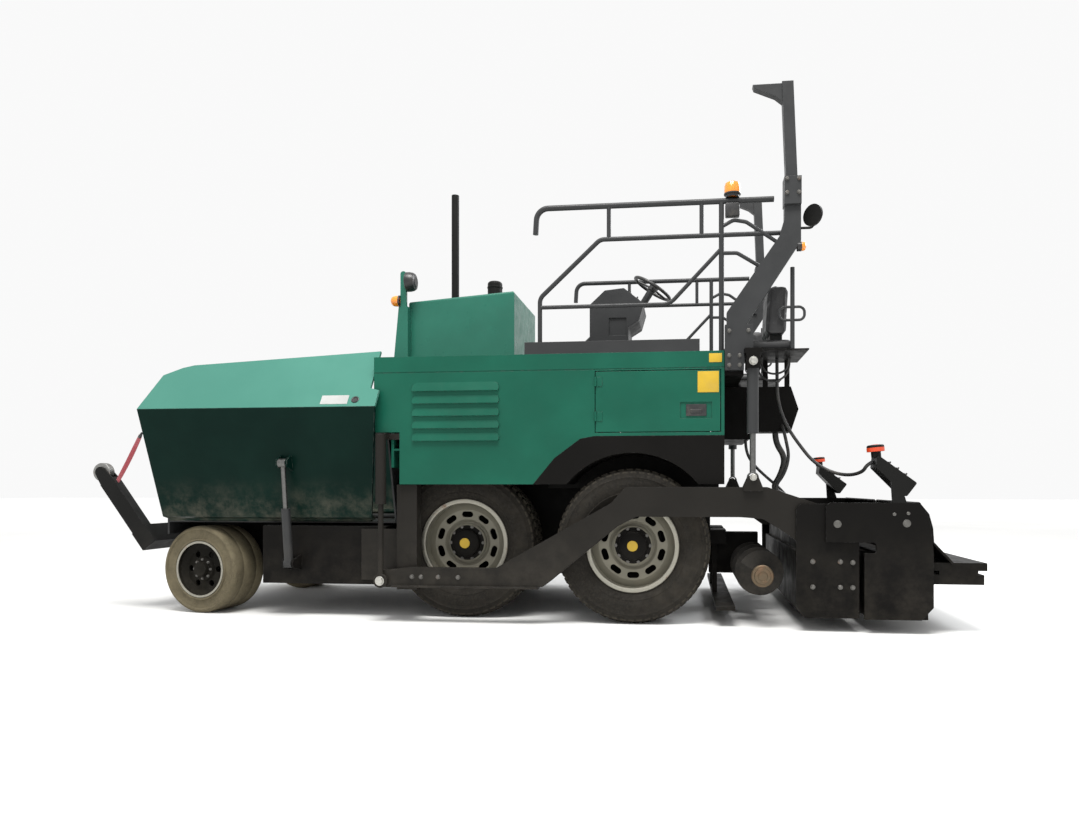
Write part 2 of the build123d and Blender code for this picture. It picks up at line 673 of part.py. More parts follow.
def make_cylinder(axis_dir, start, end, barrel_radius, rod_radius, barrel_share, eye):
    """Barrel and rod of a hydraulic cylinder between two pins that lie along one direction."""
    a, b = Vector(*start), Vector(*end)
    along = (b - a).normalized()
    cross = Vector(*axis_dir)
    eye_radius, eye_width, base_hole, rod_hole = eye
    half = cross * (eye_width / 2)
    barrel_end = a + (b - a) * barrel_share
    barrel = bar(tuple(a), tuple(barrel_end), barrel_radius)
    barrel += bar(tuple(a - half), tuple(a + half), eye_radius)
    rod = bar(tuple(barrel_end - along * 140), tuple(b), rod_radius)
    rod += bar(tuple(b - half), tuple(b + half), eye_radius)
    barrel -= bar(tuple(a - cross * 80), tuple(a + cross * 80), base_hole)
    barrel -= bar(tuple(a + along * (eye_radius + 20)), tuple(barrel_end + along * 5), rod_radius + FIT)
    rod -= bar(tuple(b - cross * 80), tuple(b + cross * 80), rod_hole)
    return barrel, rod


def make_wing_cylinder():
    """Left wing cylinder, nearly upright beside the hopper."""
    start = (WING_CYL_X, -WING_CYL_BASE[0], WING_CYL_BASE[1])
    end = (WING_CYL_X, -WING_CYL_EYE[0], WING_CYL_EYE[1])
    return make_cylinder((1, 0, 0), start, end, 34, 18, 0.55, (34, 60, 18 + FIT, 24))


def make_lift_cylinder():
    """Left screed lift cylinder, from the rear frame down to the tow arm."""
    start = (LIFT_X, -LIFT_Y, LIFT_TOP_Z)
    end = (LIFT_X, -LIFT_Y, LIFT_EYE_Z)
    return make_cylinder((0, 1, 0), start, end, 42, 22, 0.62, (40, 70, 20 + FIT, 30))


# Push beam

def push_point(along, across):
    """Point of the raised push beam, from its pivot, in (x, z)."""
    angle = math.radians(PUSH_ANGLE)
    direction = (-math.cos(angle), math.sin(angle))
    normal = (-math.sin(angle), -math.cos(angle))
    return (PUSH_PIVOT[0] + direction[0] * along + normal[0] * across,
            PUSH_PIVOT[1] + direction[1] * along + normal[1] * across)


def make_push_beam():
    """Folding push beam: two inner arms, a low cross box and two outer arms that fork round the rollers."""
    arm = side_plate([
        push_point(-40, -40), push_point(-40, 40), push_point(330, 66), push_point(330, -66),
    ], (-372, -320))
    hole = bar((PUSH_PIVOT[0], -400, PUSH_PIVOT[1]), (PUSH_PIVOT[0], -300, PUSH_PIVOT[1]), 22 + FIT)
    arm = arm - hole
    box = side_plate([
        push_point(250, -70), push_point(250, 70), push_point(420, 70), push_point(420, -70),
    ], (-PUSH_HALF_WIDTH, PUSH_HALF_WIDTH))
    fork_y = (-PUSH_HALF_WIDTH, -PUSH_HALF_WIDTH + 90)
    outer = side_plate([
        push_point(400, -62), push_point(400, 62), push_point(915, 62), push_point(915, -62),
    ], fork_y)
    centre = push_point(PUSH_LENGTH, 0)
    for y in (fork_y[0], fork_y[1] - PUSH_FORK_PLATE):
        plate_y = (y, y + PUSH_FORK_PLATE)
        outer += side_plate([
            push_point(890, -62), push_point(890, 62), push_point(PUSH_LENGTH, 45),
            push_point(PUSH_LENGTH, -45),
        ], plate_y)
        outer += bar((centre[0], plate_y[0], centre[1]), (centre[0], plate_y[1], centre[1]), 45)
    outer += bar((centre[0], fork_y[0], centre[1]), (centre[0], fork_y[1], centre[1]), 20)
    return box + arm + twin(arm) + outer + twin(outer)


def make_push_rollers():
    """Two narrow rollers in the beam's forks that push against a lorry's tyres."""
    centre = push_point(PUSH_LENGTH, 0)
    start = -PUSH_HALF_WIDTH + PUSH_FORK_PLATE + 3
    end = -PUSH_HALF_WIDTH + 90 - PUSH_FORK_PLATE - 3
    roller = bar((centre[0], start, centre[1]), (centre[0], end, centre[1]), PUSH_ROLLER_RADIUS)
    roller = roller.fillet(8, roller.edges().filter_by(GeomType.CIRCLE))
    hole = bar((centre[0], start - 5, centre[1]), (centre[0], end + 5, centre[1]), 20 + FIT)
    return pair(roller - hole)


def make_beam_strap():
    """Strap that ties the raised beam back to the front edge of the left wing."""
    x, z = push_point(860, -72)
    low = Vector(x, -870, z)
    high = Vector(-2834, -1186, 1460)
    along = high - low
    section = Plane(origin=low, x_dir=Vector(0, 1, 0).cross(along), z_dir=along) * Rectangle(6, 34)
    return Solid.extrude(section.face(), along)


# Tow points, tow arms and screed

def make_tow_points():
    """Guide columns with the slide blocks and pins that pull the tow arms, and the levelling cylinders."""
    x, z = TOW_PIN
    column = block((-780, -620), (-1090, -1000), (240, 1048))
    web = block((-1100, -620), (-1010, -980), (300, 700))
    slider = block((-905, -780), (-1090, -1000), (255, 385))
    pin = bar((x, -1090, z), (x, -1232, z), TOW_PIN_RADIUS)
    eye = bar((x, -1194, z), (x, -1224, z), 54)
    rod = bar((x, -1209, z), (x, -1209, 950), 20)
    barrel = bar((x, -1209, 900), (x, -1209, 1430), 40)
    hanger = block((x - 35, x + 35), (-1215, -1120), (1395, 1440))
    stay = block((x - 35, SIDE_FRONT_X), (-BODY_Y, -BODY_Y + BODY_WALL), (1395, 1440))
    return pair(column + web + slider + pin + eye + rod + barrel + hanger + stay)


def tow_arm_outline():
    """Side view of a tow arm, low under the front wheel and high over the rear one."""
    return [
        (-900, 285), (-918, 335), (-885, 390), (-650, 420), (20, 420), (890, 910), (1000, 1030),
        (2020, 1030), (2390, 905), (2390, 640), (2220, 650), (2120, 720), (1990, 800), (1830, 812),
        (1080, 812), (940, 740), (440, 330), (380, 285),
    ]


def make_tow_arms():
    """Long arms that pull the screed, with the fork ears for the lift cylinders."""
    x, z = TOW_PIN
    arm = side_plate(tow_arm_outline(), (-TOW_ARM_Y[1], -TOW_ARM_Y[0]))
    bends = arm.edges().filter_by(Axis.Y).filter_by(lambda e: -500 < e.center().X < 2100)
    arm = arm.fillet(45, bends)
    arm -= bar((x, -1300, z), (x, -1000, z), TOW_PIN_RADIUS + FIT)
    flange = block((-775, 350), (-TOW_ARM_Y[1] - 30, -TOW_ARM_Y[0]), (271, 285))
    for y in (-1216, -1112):
        ear = side_plate([
            (LIFT_X - 70, 1030), (LIFT_X - 34, 1110), (LIFT_X + 34, 1110), (LIFT_X + 70, 1020),
        ], (y, y + 12))
        arm += ear
    arm += block((LIFT_X - 70, LIFT_X + 70), (-1216, -1100), (1000, 1030))
    arm += bar((LIFT_X, -1216, LIFT_EYE_Z), (LIFT_X, -1100, LIFT_EYE_Z), 14)
    return pair(arm + flange)


def make_screed():
    """Main screed in two halves with a crown hinge, end plates and the sleeves the extensions slide in."""
    sole = side_plate([
        (SCREED_X[0] + 30, 130), (SCREED_X[0] + 30, 560), (SCREED_X[1] - 40, 560), (SCREED_X[1], 420),
        (SCREED_X[1], SCREED_Z), (SCREED_X[0] + 60, SCREED_Z),
    ], (-TOW_ARM_Y[0], -SCREED_SPLIT))
    cover = side_plate([
        (SCREED_X[0] + 60, 560), (SCREED_X[0] + 60, 860), (SCREED_X[1] - 40, 860), (SCREED_X[1] - 40, 560),
    ], (-1100, -SCREED_SPLIT))
    end = side_plate([
        (SCREED_X[0], SCREED_Z + 70), (SCREED_X[0], 880), (SCREED_X[0] + 30, SCREED_TOP_Z),
        (SCREED_X[1], SCREED_TOP_Z), (SCREED_X[1], SCREED_Z), (SCREED_X[0] + 60, SCREED_Z),
    ], (-1213, -TOW_ARM_Y[1]))
    for dx in (-BOLT_SPACING_X / 2, BOLT_SPACING_X / 2):
        for dz in (-BOLT_SPACING_Z / 2, BOLT_SPACING_Z / 2):
            x, z = BOLT_CENTRE[0] + dx, BOLT_CENTRE[1] + dz
            end -= bar((x, -1260, z), (x, -TOW_ARM_Y[1] + 20, z), BOLT_HOLE_RADIUS)
    hanger = block((2570, SCREED_X[1]), (-TOW_ARM_Y[1], -1080), (SCREED_Z, 860))
    gx, gz = GUIDE_TUBE
    sleeve = bar((gx, -1150, gz), (gx, -40, gz), 78)
    bore = bar((gx, -1200, gz), (gx, 0, gz), 58)
    bracket = block((SCREED_X[1] - 60, gx), (-1100, -1040), (gz - 60, gz + 60))
    bracket += block((SCREED_X[1] - 60, gx), (-200, -140), (gz - 60, gz + 60))
    half = sole + cover + end + hanger + (bracket + sleeve - bore)
    hinge = bar((SCREED_X[0] + 70, 0, 140), (SCREED_X[1] - 20, 0, 140), 22)
    turnbuckle = bar((2450, -140, 800), (2450, 140, 800), 24)
    return half + twin(half) + hinge + turnbuckle


def make_extension():
    """Left screed extension on its guide tube, with its end plate, back cover and walkway."""
    inside = -EXTENSION_PLATE_Y[0]
    body = side_plate([
        (EXTENSION_X[0] + 15, SCREED_Z), (EXTENSION_X[0] + 15, 560), (EXTENSION_X[1] - 60, 560),
        (EXTENSION_X[1] - 10, 480), (EXTENSION_X[1] - 10, SCREED_Z),
    ], (inside, -20))
    end = side_plate([
        (2420, 640), (2420, 890), (2450, 920), (3060, 920), (3127, 800), (3150, 560), (3150, 190),
        (3070, SCREED_Z), (2685, SCREED_Z), (2685, 565), (2765, 565), (2765, 640),
    ], (-EXTENSION_PLATE_Y[1], inside))
    end = end.fillet(18, end.edges().filter_by(Axis.Y).filter_by(lambda e: 2700 < e.center().X < 2800))
    gx, gz = GUIDE_TUBE
    rod = bar((gx, inside, gz), (gx, -60, gz), 54)
    bracket = block((EXTENSION_X[1] - 20, WALKWAY_X[0]), (-1180, -1120), (360, 460))
    bracket += block((EXTENSION_X[1] - 20, WALKWAY_X[0]), (-120, -60), (360, 460))
    tread = block(WALKWAY_X, (-1200, -20), (445, 500))
    step = block((3140, REAR_END - 20), (-1200, -20), (348, 417))
    riser = block((3200, REAR_END - 60), (-1200, -1170), (417, 445))
    riser += block((3200, REAR_END - 60), (-50, -20), (417, 445))
    bend = [(3060, 925), (3127, 841), (3153, 743), (3160, 645), (3294, 500)]
    cover = side_plate(bend + offset_line(bend, -14)[::-1], (inside, -40))
    return body + end + rod + bracket + tread + step + riser + cover


def make_control_box():
    """Slanted screed control box on a post, with a mushroom-shaped emergency stop."""
    plate_y = (-EXTENSION_PLATE_Y[1], -EXTENSION_PLATE_Y[0])
    post = side_plate([(2875, 920), (2865, 1080), (2935, 1030), (2970, 920)], plate_y)
    box = side_plate([(2775, 1256), (3040, 1058), (2967, 960), (2765, 1167)], (plate_y[0], -1060))
    box = box.fillet(12, box.edges().filter_by(Axis.Y))
    stem = bar((2786, -1150, 1240), (2782, -1150, 1285), 34)
    knob = bar((2782, -1150, 1284), (2778, -1150, 1330), 60)
    knob = knob.fillet(14, knob.edges().filter_by(GeomType.CIRCLE))
    return post + box + stem + knob


def make_auger():
    """Screw shaft with left-hand and right-hand flights, and a bearing cap with a collar at each end."""
    shaft = bar((AUGER_X, -AUGER_REACH, AUGER_Z), (AUGER_X, AUGER_REACH, AUGER_Z), 45)
    auger = shaft
    for side in (-1, 1):
        for i in range(8):
            y = side * (150 + i * 120)
            tilt = 14 * side
            disc = Pos(AUGER_X, y, AUGER_Z) * Rot(90, 0, 0) * Rot(0, tilt, 0) * Cylinder(AUGER_RADIUS - 4, 12)
            auger += disc
        cap = turned([
            (-AUGER_REACH, 0), (-AUGER_REACH, 62), (-AUGER_REACH + 10, 66), (-AUGER_REACH + 10, 97),
            (-AUGER_REACH + 40, 97), (-AUGER_REACH + 52, 70), (-AUGER_REACH + 52, 0),
        ])
        cap = Pos(AUGER_X, 0, AUGER_Z) * cap
        auger += cap if side < 0 else twin(cap)
    return auger


def make_auger_frame():
    """Hangers and chain case that hold the auger behind the chassis, and the plate under it."""
    case = block((CHASSIS_TAIL_X, AUGER_X + 70), (-60, 60), (AUGER_Z - 100, 640))
    bore = bar((AUGER_X, -100, AUGER_Z), (AUGER_X, 100, AUGER_Z), 45 + FIT)
    hanger = block((CHASSIS_TAIL_X, 1770), (-400, -60), (560, 676))
    plate = block((1660, 1800), (-1100, 1100), (120, 150))
    strut = block((1660, 1700), (-300, -260), (150, 570))
    return case - bore + hanger + twin(hanger) + plate + strut + twin(strut)


def make_hoses():
    """Hose bundle that loops down from the junction box to the screed."""
    y = -470
    points = [(2160, y, 1470), (2160, y, 1390), (2240, y, 1270), (2205, y, 1130), (2130, y, 1010),
              (2290, y, 932), (2345, y, 878)]
    return tube(points, 24, 55)


def build_parts():
    """All nodes by name."""
    wing = make_wing()
    wing_barrel, wing_rod = make_wing_cylinder()
    lift_barrel, lift_rod = make_lift_cylinder()
    extension = make_extension()
    door = make_side_door()
    parts = {
        "chassis": make_chassis(),
        "hopper_floor": make_hopper_floor(),
        "conveyor": make_conveyor(),
        "front_axle": make_front_axle(),
        "body_shell": make_body_shell(),
        "fenders": make_fenders(),
        "engine": make_engine(),
        "hood": make_hood(),
        "exhaust_stack": make_exhaust(),
        "air_cleaner": make_air_cleaner(),
        "lamps": make_lamps(),
        "operator_deck": make_operator_deck(),
        "handrails": make_handrails(),
        "console": make_console(),
        "steering_wheel": make_steering_wheel(),
        "seats": make_seats(),
        "canopy_posts": make_canopy_posts(),
        "mirrors": make_mirrors(),
        "rear_frame": make_rear_frame(),
        "tow_points": make_tow_points(),
        "push_beam": make_push_beam(),
        "push_rollers": make_push_rollers(),
        "beam_strap": make_beam_strap(),
        "tow_arms": make_tow_arms(),
        "screed": make_screed(),
        "auger": make_auger(),
        "auger_frame": make_auger_frame(),
        "hoses": make_hoses(),
    }
    axles = []
    for place, x, y in (("front", FRONT_DRIVE_X, FRONT_DRIVE_Y), ("rear", REAR_AXLE_X, REAR_WHEEL_Y)):
        axles += pair(make_drive_axle(x, y)).solids()
        tyre = make_drive_tyre(x, y)
        wheel = make_drive_wheel(x, y)
        for side in ("left", "right"):
            parts[f"{place}_drive_tyre_{side}"] = at_side(tyre, side)
            parts[f"{place}_drive_wheel_{side}"] = at_side(wheel, side)
    parts["drive_axles"] = Compound(axles)
    for side in ("left", "right"):
        sign = -1 if side == "left" else 1
        kingpin = Axis((STEER_X, sign * -KINGPIN_Y, 0), (0, 0, 1))
        for name, shape in (("steer_tyre", make_steer_tyre()), ("steer_wheel", make_steer_wheel()),
                            ("knuckle", make_knuckle())):
            parts[f"{name}_{side}"] = at_side(shape, side).rotate(kingpin, STEER_REST)
        parts[f"wing_{side}"] = at_side(wing, side)
        parts[f"wing_barrel_{side}"] = at_side(wing_barrel, side)
        parts[f"wing_rod_{side}"] = at_side(wing_rod, side)
        parts[f"lift_barrel_{side}"] = at_side(lift_barrel, side)
        parts[f"lift_rod_{side}"] = at_side(lift_rod, side)
        parts[f"side_door_{side}"] = at_side(door, side)
        parts[f"screed_extension_{side}"] = at_side(extension, side)
        parts[f"control_box_{side}"] = at_side(make_control_box(), side)
    return parts


os.makedirs("parts", exist_ok=True)
for node, shape in build_parts().items():
    export_step(shape, f"parts/{node}.step")
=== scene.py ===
import json
import math

import bmesh
import bpy
from mathutils import Matrix, Vector


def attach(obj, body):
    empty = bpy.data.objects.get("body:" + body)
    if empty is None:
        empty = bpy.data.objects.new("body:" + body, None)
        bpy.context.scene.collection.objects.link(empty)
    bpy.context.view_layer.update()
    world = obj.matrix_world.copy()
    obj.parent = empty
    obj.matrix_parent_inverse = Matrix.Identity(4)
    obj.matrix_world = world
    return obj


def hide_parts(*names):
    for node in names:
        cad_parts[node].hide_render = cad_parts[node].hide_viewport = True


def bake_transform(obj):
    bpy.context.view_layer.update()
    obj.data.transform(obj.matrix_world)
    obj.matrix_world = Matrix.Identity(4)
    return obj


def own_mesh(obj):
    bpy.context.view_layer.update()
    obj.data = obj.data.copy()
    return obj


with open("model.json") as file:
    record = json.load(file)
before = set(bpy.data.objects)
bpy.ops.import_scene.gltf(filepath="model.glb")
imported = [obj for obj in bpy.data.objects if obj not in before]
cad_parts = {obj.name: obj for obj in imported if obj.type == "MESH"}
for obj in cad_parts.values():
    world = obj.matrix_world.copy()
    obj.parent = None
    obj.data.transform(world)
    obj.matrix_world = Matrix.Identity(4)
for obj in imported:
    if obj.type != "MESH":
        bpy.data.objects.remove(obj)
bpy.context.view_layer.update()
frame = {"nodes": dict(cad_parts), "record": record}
NODES = frame["nodes"]

# Wheeled asphalt paver, metres. +X is to the rear, -Y is the machine's left side, +Z is up.

LEFT, RIGHT = -1, 1
SIDES = (("left", LEFT), ("right", RIGHT))

# Camera, fitted to the photograph
PHOTO_WIDTH = 1079
PHOTO_HEIGHT = 817
FOCAL_PX = 760
CENTRE_PX = (598, 487)
CAMERA_PLACE = (1.43, -6.75, 1.03)
CAMERA_YAW = math.radians(6.5)
SENSOR = 36.0

# Driving dimensions, as in the frame
DRIVE_RADIUS = 0.585
DRIVE_WIDTH = 0.385
DRIVE_RIM = 0.332
DRIVE_WHEELS = (("front", -0.300, 0.747), ("rear", 1.040, 0.897))
STEER_RADIUS = 0.356
STEER_WIDTH = 0.350
STEER_RIM = 0.232
STEER_X = -2.470
STEER_Y = 0.775
KINGPIN_Y = 0.660
STEER_REST = math.radians(-9)
WING_CREASE_Z = 1.640


# Node recipes for the finishes

class Recipe:
    """Node tree of one material, with short calls for the nodes that the finishes share."""

    def __init__(self, name, roughness=0.5, metallic=0.0):
        self.material = bpy.data.materials.new(name)
        self.material.use_nodes = True
        self.tree = self.material.node_tree
        self.shader = self.tree.nodes["Principled BSDF"]
        self.shader.inputs["Roughness"].default_value = roughness
        self.shader.inputs["Metallic"].default_value = metallic
        coords = self.tree.nodes.new("ShaderNodeTexCoord")
        self.place = coords.outputs["Object"]
        self.material.diffuse_color = (0.5, 0.5, 0.5, 1)

    def link(self, source, target):
        self.tree.links.new(source, target)

    def node(self, kind, **values):
        made = self.tree.nodes.new(kind)
        for key, value in values.items():
            setattr(made, key, value)
        return made

    def stretched(self, scale):
        """Object coordinates, stretched by a factor along each axis."""
        mapping = self.node("ShaderNodeMapping")
        mapping.inputs["Scale"].default_value = scale
        self.link(self.place, mapping.inputs["Vector"])
        return mapping.outputs["Vector"]

    def noise(self, scale, detail=4.0, roughness=0.55, vector=None):
        made = self.node("ShaderNodeTexNoise")
        made.inputs["Scale"].default_value = scale
        made.inputs["Detail"].default_value = detail
        made.inputs["Roughness"].default_value = roughness
        self.link(vector or self.place, made.inputs["Vector"])
        return made.outputs["Fac"]

    def cells(self, scale):
        made = self.node("ShaderNodeTexVoronoi")
        made.inputs["Scale"].default_value = scale
        self.link(self.place, made.inputs["Vector"])
        return made.outputs["Distance"]

    def limits(self, value, low, high, to_low=0.0, to_high=1.0):
        """A value mapped smoothly from one range to another, and held at its ends."""
        made = self.node("ShaderNodeMapRange", interpolation_type="SMOOTHSTEP")
        for name, number in (("From Min", low), ("From Max", high), ("To Min", to_low), ("To Max", to_high)):
            made.inputs[name].default_value = number
        self.link(value, made.inputs["Value"])
        return made.outputs["Result"]

    def math(self, operation, a, b):
        made = self.node("ShaderNodeMath", operation=operation)
        for index, value in enumerate((a, b)):
            if isinstance(value, (int, float)):
                made.inputs[index].default_value = value
            else:
                self.link(value, made.inputs[index])
        return made.outputs["Value"]

    def mix(self, share, a, b):
        """A colour between two others, which are colours or outputs."""
        made = self.node("ShaderNodeMix", data_type="RGBA")
        self.link(share, made.inputs["Factor"])
        for name, value in (("A", a), ("B", b)):
            socket = next(s for s in made.inputs if s.name == name and s.type == "RGBA")
            if isinstance(value, tuple):
                socket.default_value = (*value, 1)
            else:
                self.link(value, socket)
        return next(s for s in made.outputs if s.type == "RGBA")

    def axis(self, letter):
        """One of the object coordinates."""
        split = self.node("ShaderNodeSeparateXYZ")
        self.link(self.place, split.inputs["Vector"])
        return split.outputs[letter]

    def upward(self):
        """How far the surface faces up, from -1 to 1."""
        geometry = self.node("ShaderNodeNewGeometry")
        split = self.node("ShaderNodeSeparateXYZ")
        self.link(geometry.outputs["Normal"], split.inputs["Vector"])
        return split.outputs["Z"]

    def edge(self, radius):
        """Share of wear, which is high along outer edges."""
        geometry = self.node("ShaderNodeNewGeometry")
        bevel = self.node("ShaderNodeBevel", samples=4)
        bevel.inputs["Radius"].default_value = radius
        dot = self.node("ShaderNodeVectorMath", operation="DOT_PRODUCT")
        self.link(geometry.outputs["Normal"], dot.inputs[0])
        self.link(bevel.outputs["Normal"], dot.inputs[1])
        return self.limits(dot.outputs["Value"], 0.995, 0.90)

    def bump(self, height, strength, distance=0.002, soft_edge=None):
        made = self.node("ShaderNodeBump")
        made.inputs["Strength"].default_value = strength
        made.inputs["Distance"].default_value = distance
        self.link(height, made.inputs["Height"])
        if soft_edge:
            bevel = self.node("ShaderNodeBevel", samples=4)
            bevel.inputs["Radius"].default_value = soft_edge
            self.link(bevel.outputs["Normal"], made.inputs["Normal"])
        self.link(made.outputs["Normal"], self.shader.inputs["Normal"])

    def colour(self, source):
        self.link(source, self.shader.inputs["Base Color"])

    def rough(self, source):
        self.link(source, self.shader.inputs["Roughness"])


DUST = (0.235, 0.205, 0.160)
PRIMER = (0.10, 0.10, 0.10)
CHIPS = 0.35


def paint(name, colour, gloss, coat, dust_height, dust, shine):
    """Machine enamel: patchy colour, dust that gathers low down and on ledges, and chipped edges."""
    r = Recipe(name)
    r.shader.inputs["Coat Weight"].default_value = coat
    r.shader.inputs["Coat Roughness"].default_value = 0.18
    r.shader.inputs["Specular IOR Level"].default_value = shine
    deep = tuple(c * 0.82 for c in colour)
    tone = r.limits(r.noise(1.7, 5), 0.35, 0.68)
    base = r.mix(tone, deep, colour)
    low = r.limits(r.axis("Z"), dust_height, 0.0)
    ledge = r.math("MULTIPLY", r.limits(r.upward(), 0.6, 1.0), 0.55)
    grime = r.math("MAXIMUM", low, ledge)
    grime = r.math("MULTIPLY", grime, r.limits(r.noise(6, 8, 0.7), 0.32, 0.72))
    grime = r.math("MULTIPLY", grime, dust)
    base = r.mix(grime, base, DUST)
    wear = r.math("MULTIPLY", r.edge(0.006), r.limits(r.noise(38, 3), 0.50, 0.62))
    wear = r.math("MULTIPLY", wear, CHIPS)
    r.colour(r.mix(wear, base, PRIMER))
    smudge = r.limits(r.noise(9, 5, 0.6), 0.3, 0.75, gloss - 0.06, gloss + 0.14)
    r.rough(r.math("MAXIMUM", smudge, r.math("MULTIPLY", grime, 1.4)))
    r.bump(r.noise(260, 2), 0.06, 0.001, soft_edge=0.004)
    return r.material


def paint_wing():
    """The hopper wings' green paint, made near-black on the lower panels below the crease as painted shade.
    """
    r = Recipe("paver_wing_paint")
    r.shader.inputs["Specular IOR Level"].default_value = 0.06
    light = r.mix(r.limits(r.noise(1.3, 5), 0.35, 0.68), (0.058, 0.186, 0.146), (0.068, 0.208, 0.164))
    # Painted shade: this near-black green stands for the shadow on the lower panels, which have the same
    # green paint as the upper ones.
    dark = r.mix(r.limits(r.noise(2.2, 6), 0.35, 0.68), (0.0015, 0.0115, 0.0085), (0.0025, 0.0150, 0.0110))
    base = r.mix(r.limits(r.axis("Z"), WING_CREASE_Z - 0.004, WING_CREASE_Z + 0.004), dark, light)
    low = r.math("MULTIPLY", r.limits(r.axis("Z"), 1.15, 0.72), r.limits(r.noise(7, 8, 0.7), 0.35, 0.75))
    base = r.mix(r.math("MULTIPLY", low, 0.30), base, DUST)
    wear = r.math("MULTIPLY", r.edge(0.007), r.limits(r.noise(30, 3), 0.46, 0.60))
    r.colour(r.mix(r.math("MULTIPLY", wear, 0.6), base, (0.12, 0.13, 0.12)))
    r.rough(r.limits(r.noise(8, 5, 0.6), 0.3, 0.75, 0.28, 0.46))
    r.bump(r.noise(3.5, 3), 0.10, 0.004, soft_edge=0.004)
    return r.material


def rubber(name, colour, dusty, dust_share, grain=140):
    """Tyre rubber with dust in its grain and a matt, lightly pitted surface."""
    r = Recipe(name, roughness=0.85)
    r.shader.inputs["Specular IOR Level"].default_value = 0.15
    patches = r.limits(r.noise(5, 7, 0.7), 0.36, 0.70)
    fine = r.limits(r.noise(70, 4, 0.7), 0.35, 0.75)
    share = r.math("MULTIPLY", r.math("MAXIMUM", patches, fine), dust_share)
    r.colour(r.mix(share, colour, dusty))
    r.rough(r.limits(r.noise(30, 4), 0.3, 0.7, 0.72, 0.95))
    r.bump(r.noise(grain, 4, 0.65), 0.35, 0.0015)
    return r.material


def steel(name, colour, roughness, rust_share, streak=(1, 1, 1), rust=(0.16, 0.075, 0.035)):
    """Bare steel with drawn-out scratches and patches of rust and dust."""
    r = Recipe(name, roughness=roughness, metallic=1.0)
    scratch = r.noise(55, 5, 0.7, r.stretched(streak))
    shine = r.mix(r.limits(scratch, 0.3, 0.7), tuple(c * 0.75 for c in colour), colour)
    patch = r.limits(r.noise(6, 8, 0.75), 0.62 - rust_share * 0.35, 0.72)
    r.colour(r.mix(patch, shine, rust))
    r.link(r.limits(patch, 0.0, 1.0, 1.0, 0.15), r.shader.inputs["Metallic"])
    r.rough(r.math("MAXIMUM", r.limits(scratch, 0.2, 0.8, roughness - 0.1, roughness + 0.15),
                   r.math("MULTIPLY", patch, 0.85)))
    r.bump(scratch, 0.12, 0.001, soft_edge=0.003)
    return r.material


def chrome(name):
    """Ground and plated rod, with a thin film of oil that has caught dust."""
    r = Recipe(name, roughness=0.12, metallic=1.0)
    film = r.limits(r.noise(14, 6, 0.7, r.stretched((1, 1, 0.25))), 0.45, 0.75)
    r.colour(r.mix(film, (0.80, 0.80, 0.81), (0.55, 0.53, 0.50)))
    r.rough(r.limits(film, 0, 1, 0.10, 0.30))
    return r.material


def plastic(name, colour, roughness, grain, bump=0.15):
    """Moulded plastic with a fine grain and a little dust."""
    r = Recipe(name, roughness=roughness)
    tone = r.limits(r.noise(4, 4), 0.35, 0.7)
    base = r.mix(tone, tuple(c * 0.85 for c in colour), colour)
    dust = r.math("MULTIPLY", r.limits(r.noise(12, 6, 0.7), 0.45, 0.75), 0.14)
    r.colour(r.mix(dust, base, DUST))
    r.rough(r.limits(r.noise(20, 3), 0.3, 0.7, roughness - 0.05, roughness + 0.08))
    r.bump(r.noise(grain, 3), bump, 0.0006, soft_edge=0.002)
    return r.material


def lens(name, colour):
    """Lamp lens with moulded ribs inside it."""
    r = Recipe(name, roughness=0.16)
    r.shader.inputs["Coat Weight"].default_value = 0.8
    r.shader.inputs["Coat Roughness"].default_value = 0.05
    r.shader.inputs["Subsurface Weight"].default_value = 0.25
    r.shader.inputs["Subsurface Radius"].default_value = (0.02, 0.01, 0.004)
    ribs = r.node("ShaderNodeTexWave", bands_direction="Z")
    ribs.inputs["Scale"].default_value = 45
    r.link(r.place, ribs.inputs["Vector"])
    r.colour(r.mix(r.limits(ribs.outputs["Fac"], 0, 1), tuple(c * 0.7 for c in colour), colour))
    r.bump(ribs.outputs["Fac"], 0.25, 0.002)
    return r.material


def vinyl(name, colour):
    """Seat vinyl with a leather grain."""
    r = Recipe(name, roughness=0.48)
    grain = r.cells(420)
    wrinkle = r.noise(18, 6, 0.6)
    r.colour(r.mix(r.limits(wrinkle, 0.3, 0.7), tuple(c * 0.7 for c in colour), colour))
    r.rough(r.limits(r.noise(9, 4), 0.3, 0.7, 0.40, 0.60))
    height = r.math("ADD", r.math("MULTIPLY", grain, 0.5), r.math("MULTIPLY", wrinkle, 0.6))
    r.bump(height, 0.35, 0.0012)
    return r.material


def webbing(name, colour):
    """Woven polyester webbing."""
    r = Recipe(name, roughness=0.72)
    r.shader.inputs["Sheen Weight"].default_value = 0.3
    weave = r.node("ShaderNodeTexWave", bands_direction="Z")
    weave.inputs["Scale"].default_value = 260
    weave.inputs["Distortion"].default_value = 1.5
    r.link(r.place, weave.inputs["Vector"])
    r.colour(r.mix(r.limits(weave.outputs["Fac"], 0.2, 0.8), tuple(c * 0.55 for c in colour), colour))
    r.bump(weave.outputs["Fac"], 0.5, 0.001)
    return r.material


def hose_skin(name):
    """Hydraulic hose cover with a faint fabric wrap and dust."""
    r = Recipe(name, roughness=0.55)
    wrap = r.noise(320, 2, 0.5, r.stretched((1, 1, 0.35)))
    dust = r.math("MULTIPLY", r.limits(r.noise(9, 6, 0.7), 0.4, 0.75), 0.30)
    r.colour(r.mix(dust, (0.018, 0.018, 0.019), (0.14, 0.125, 0.10)))
    r.bump(wrap, 0.25, 0.0008)
    return r.material


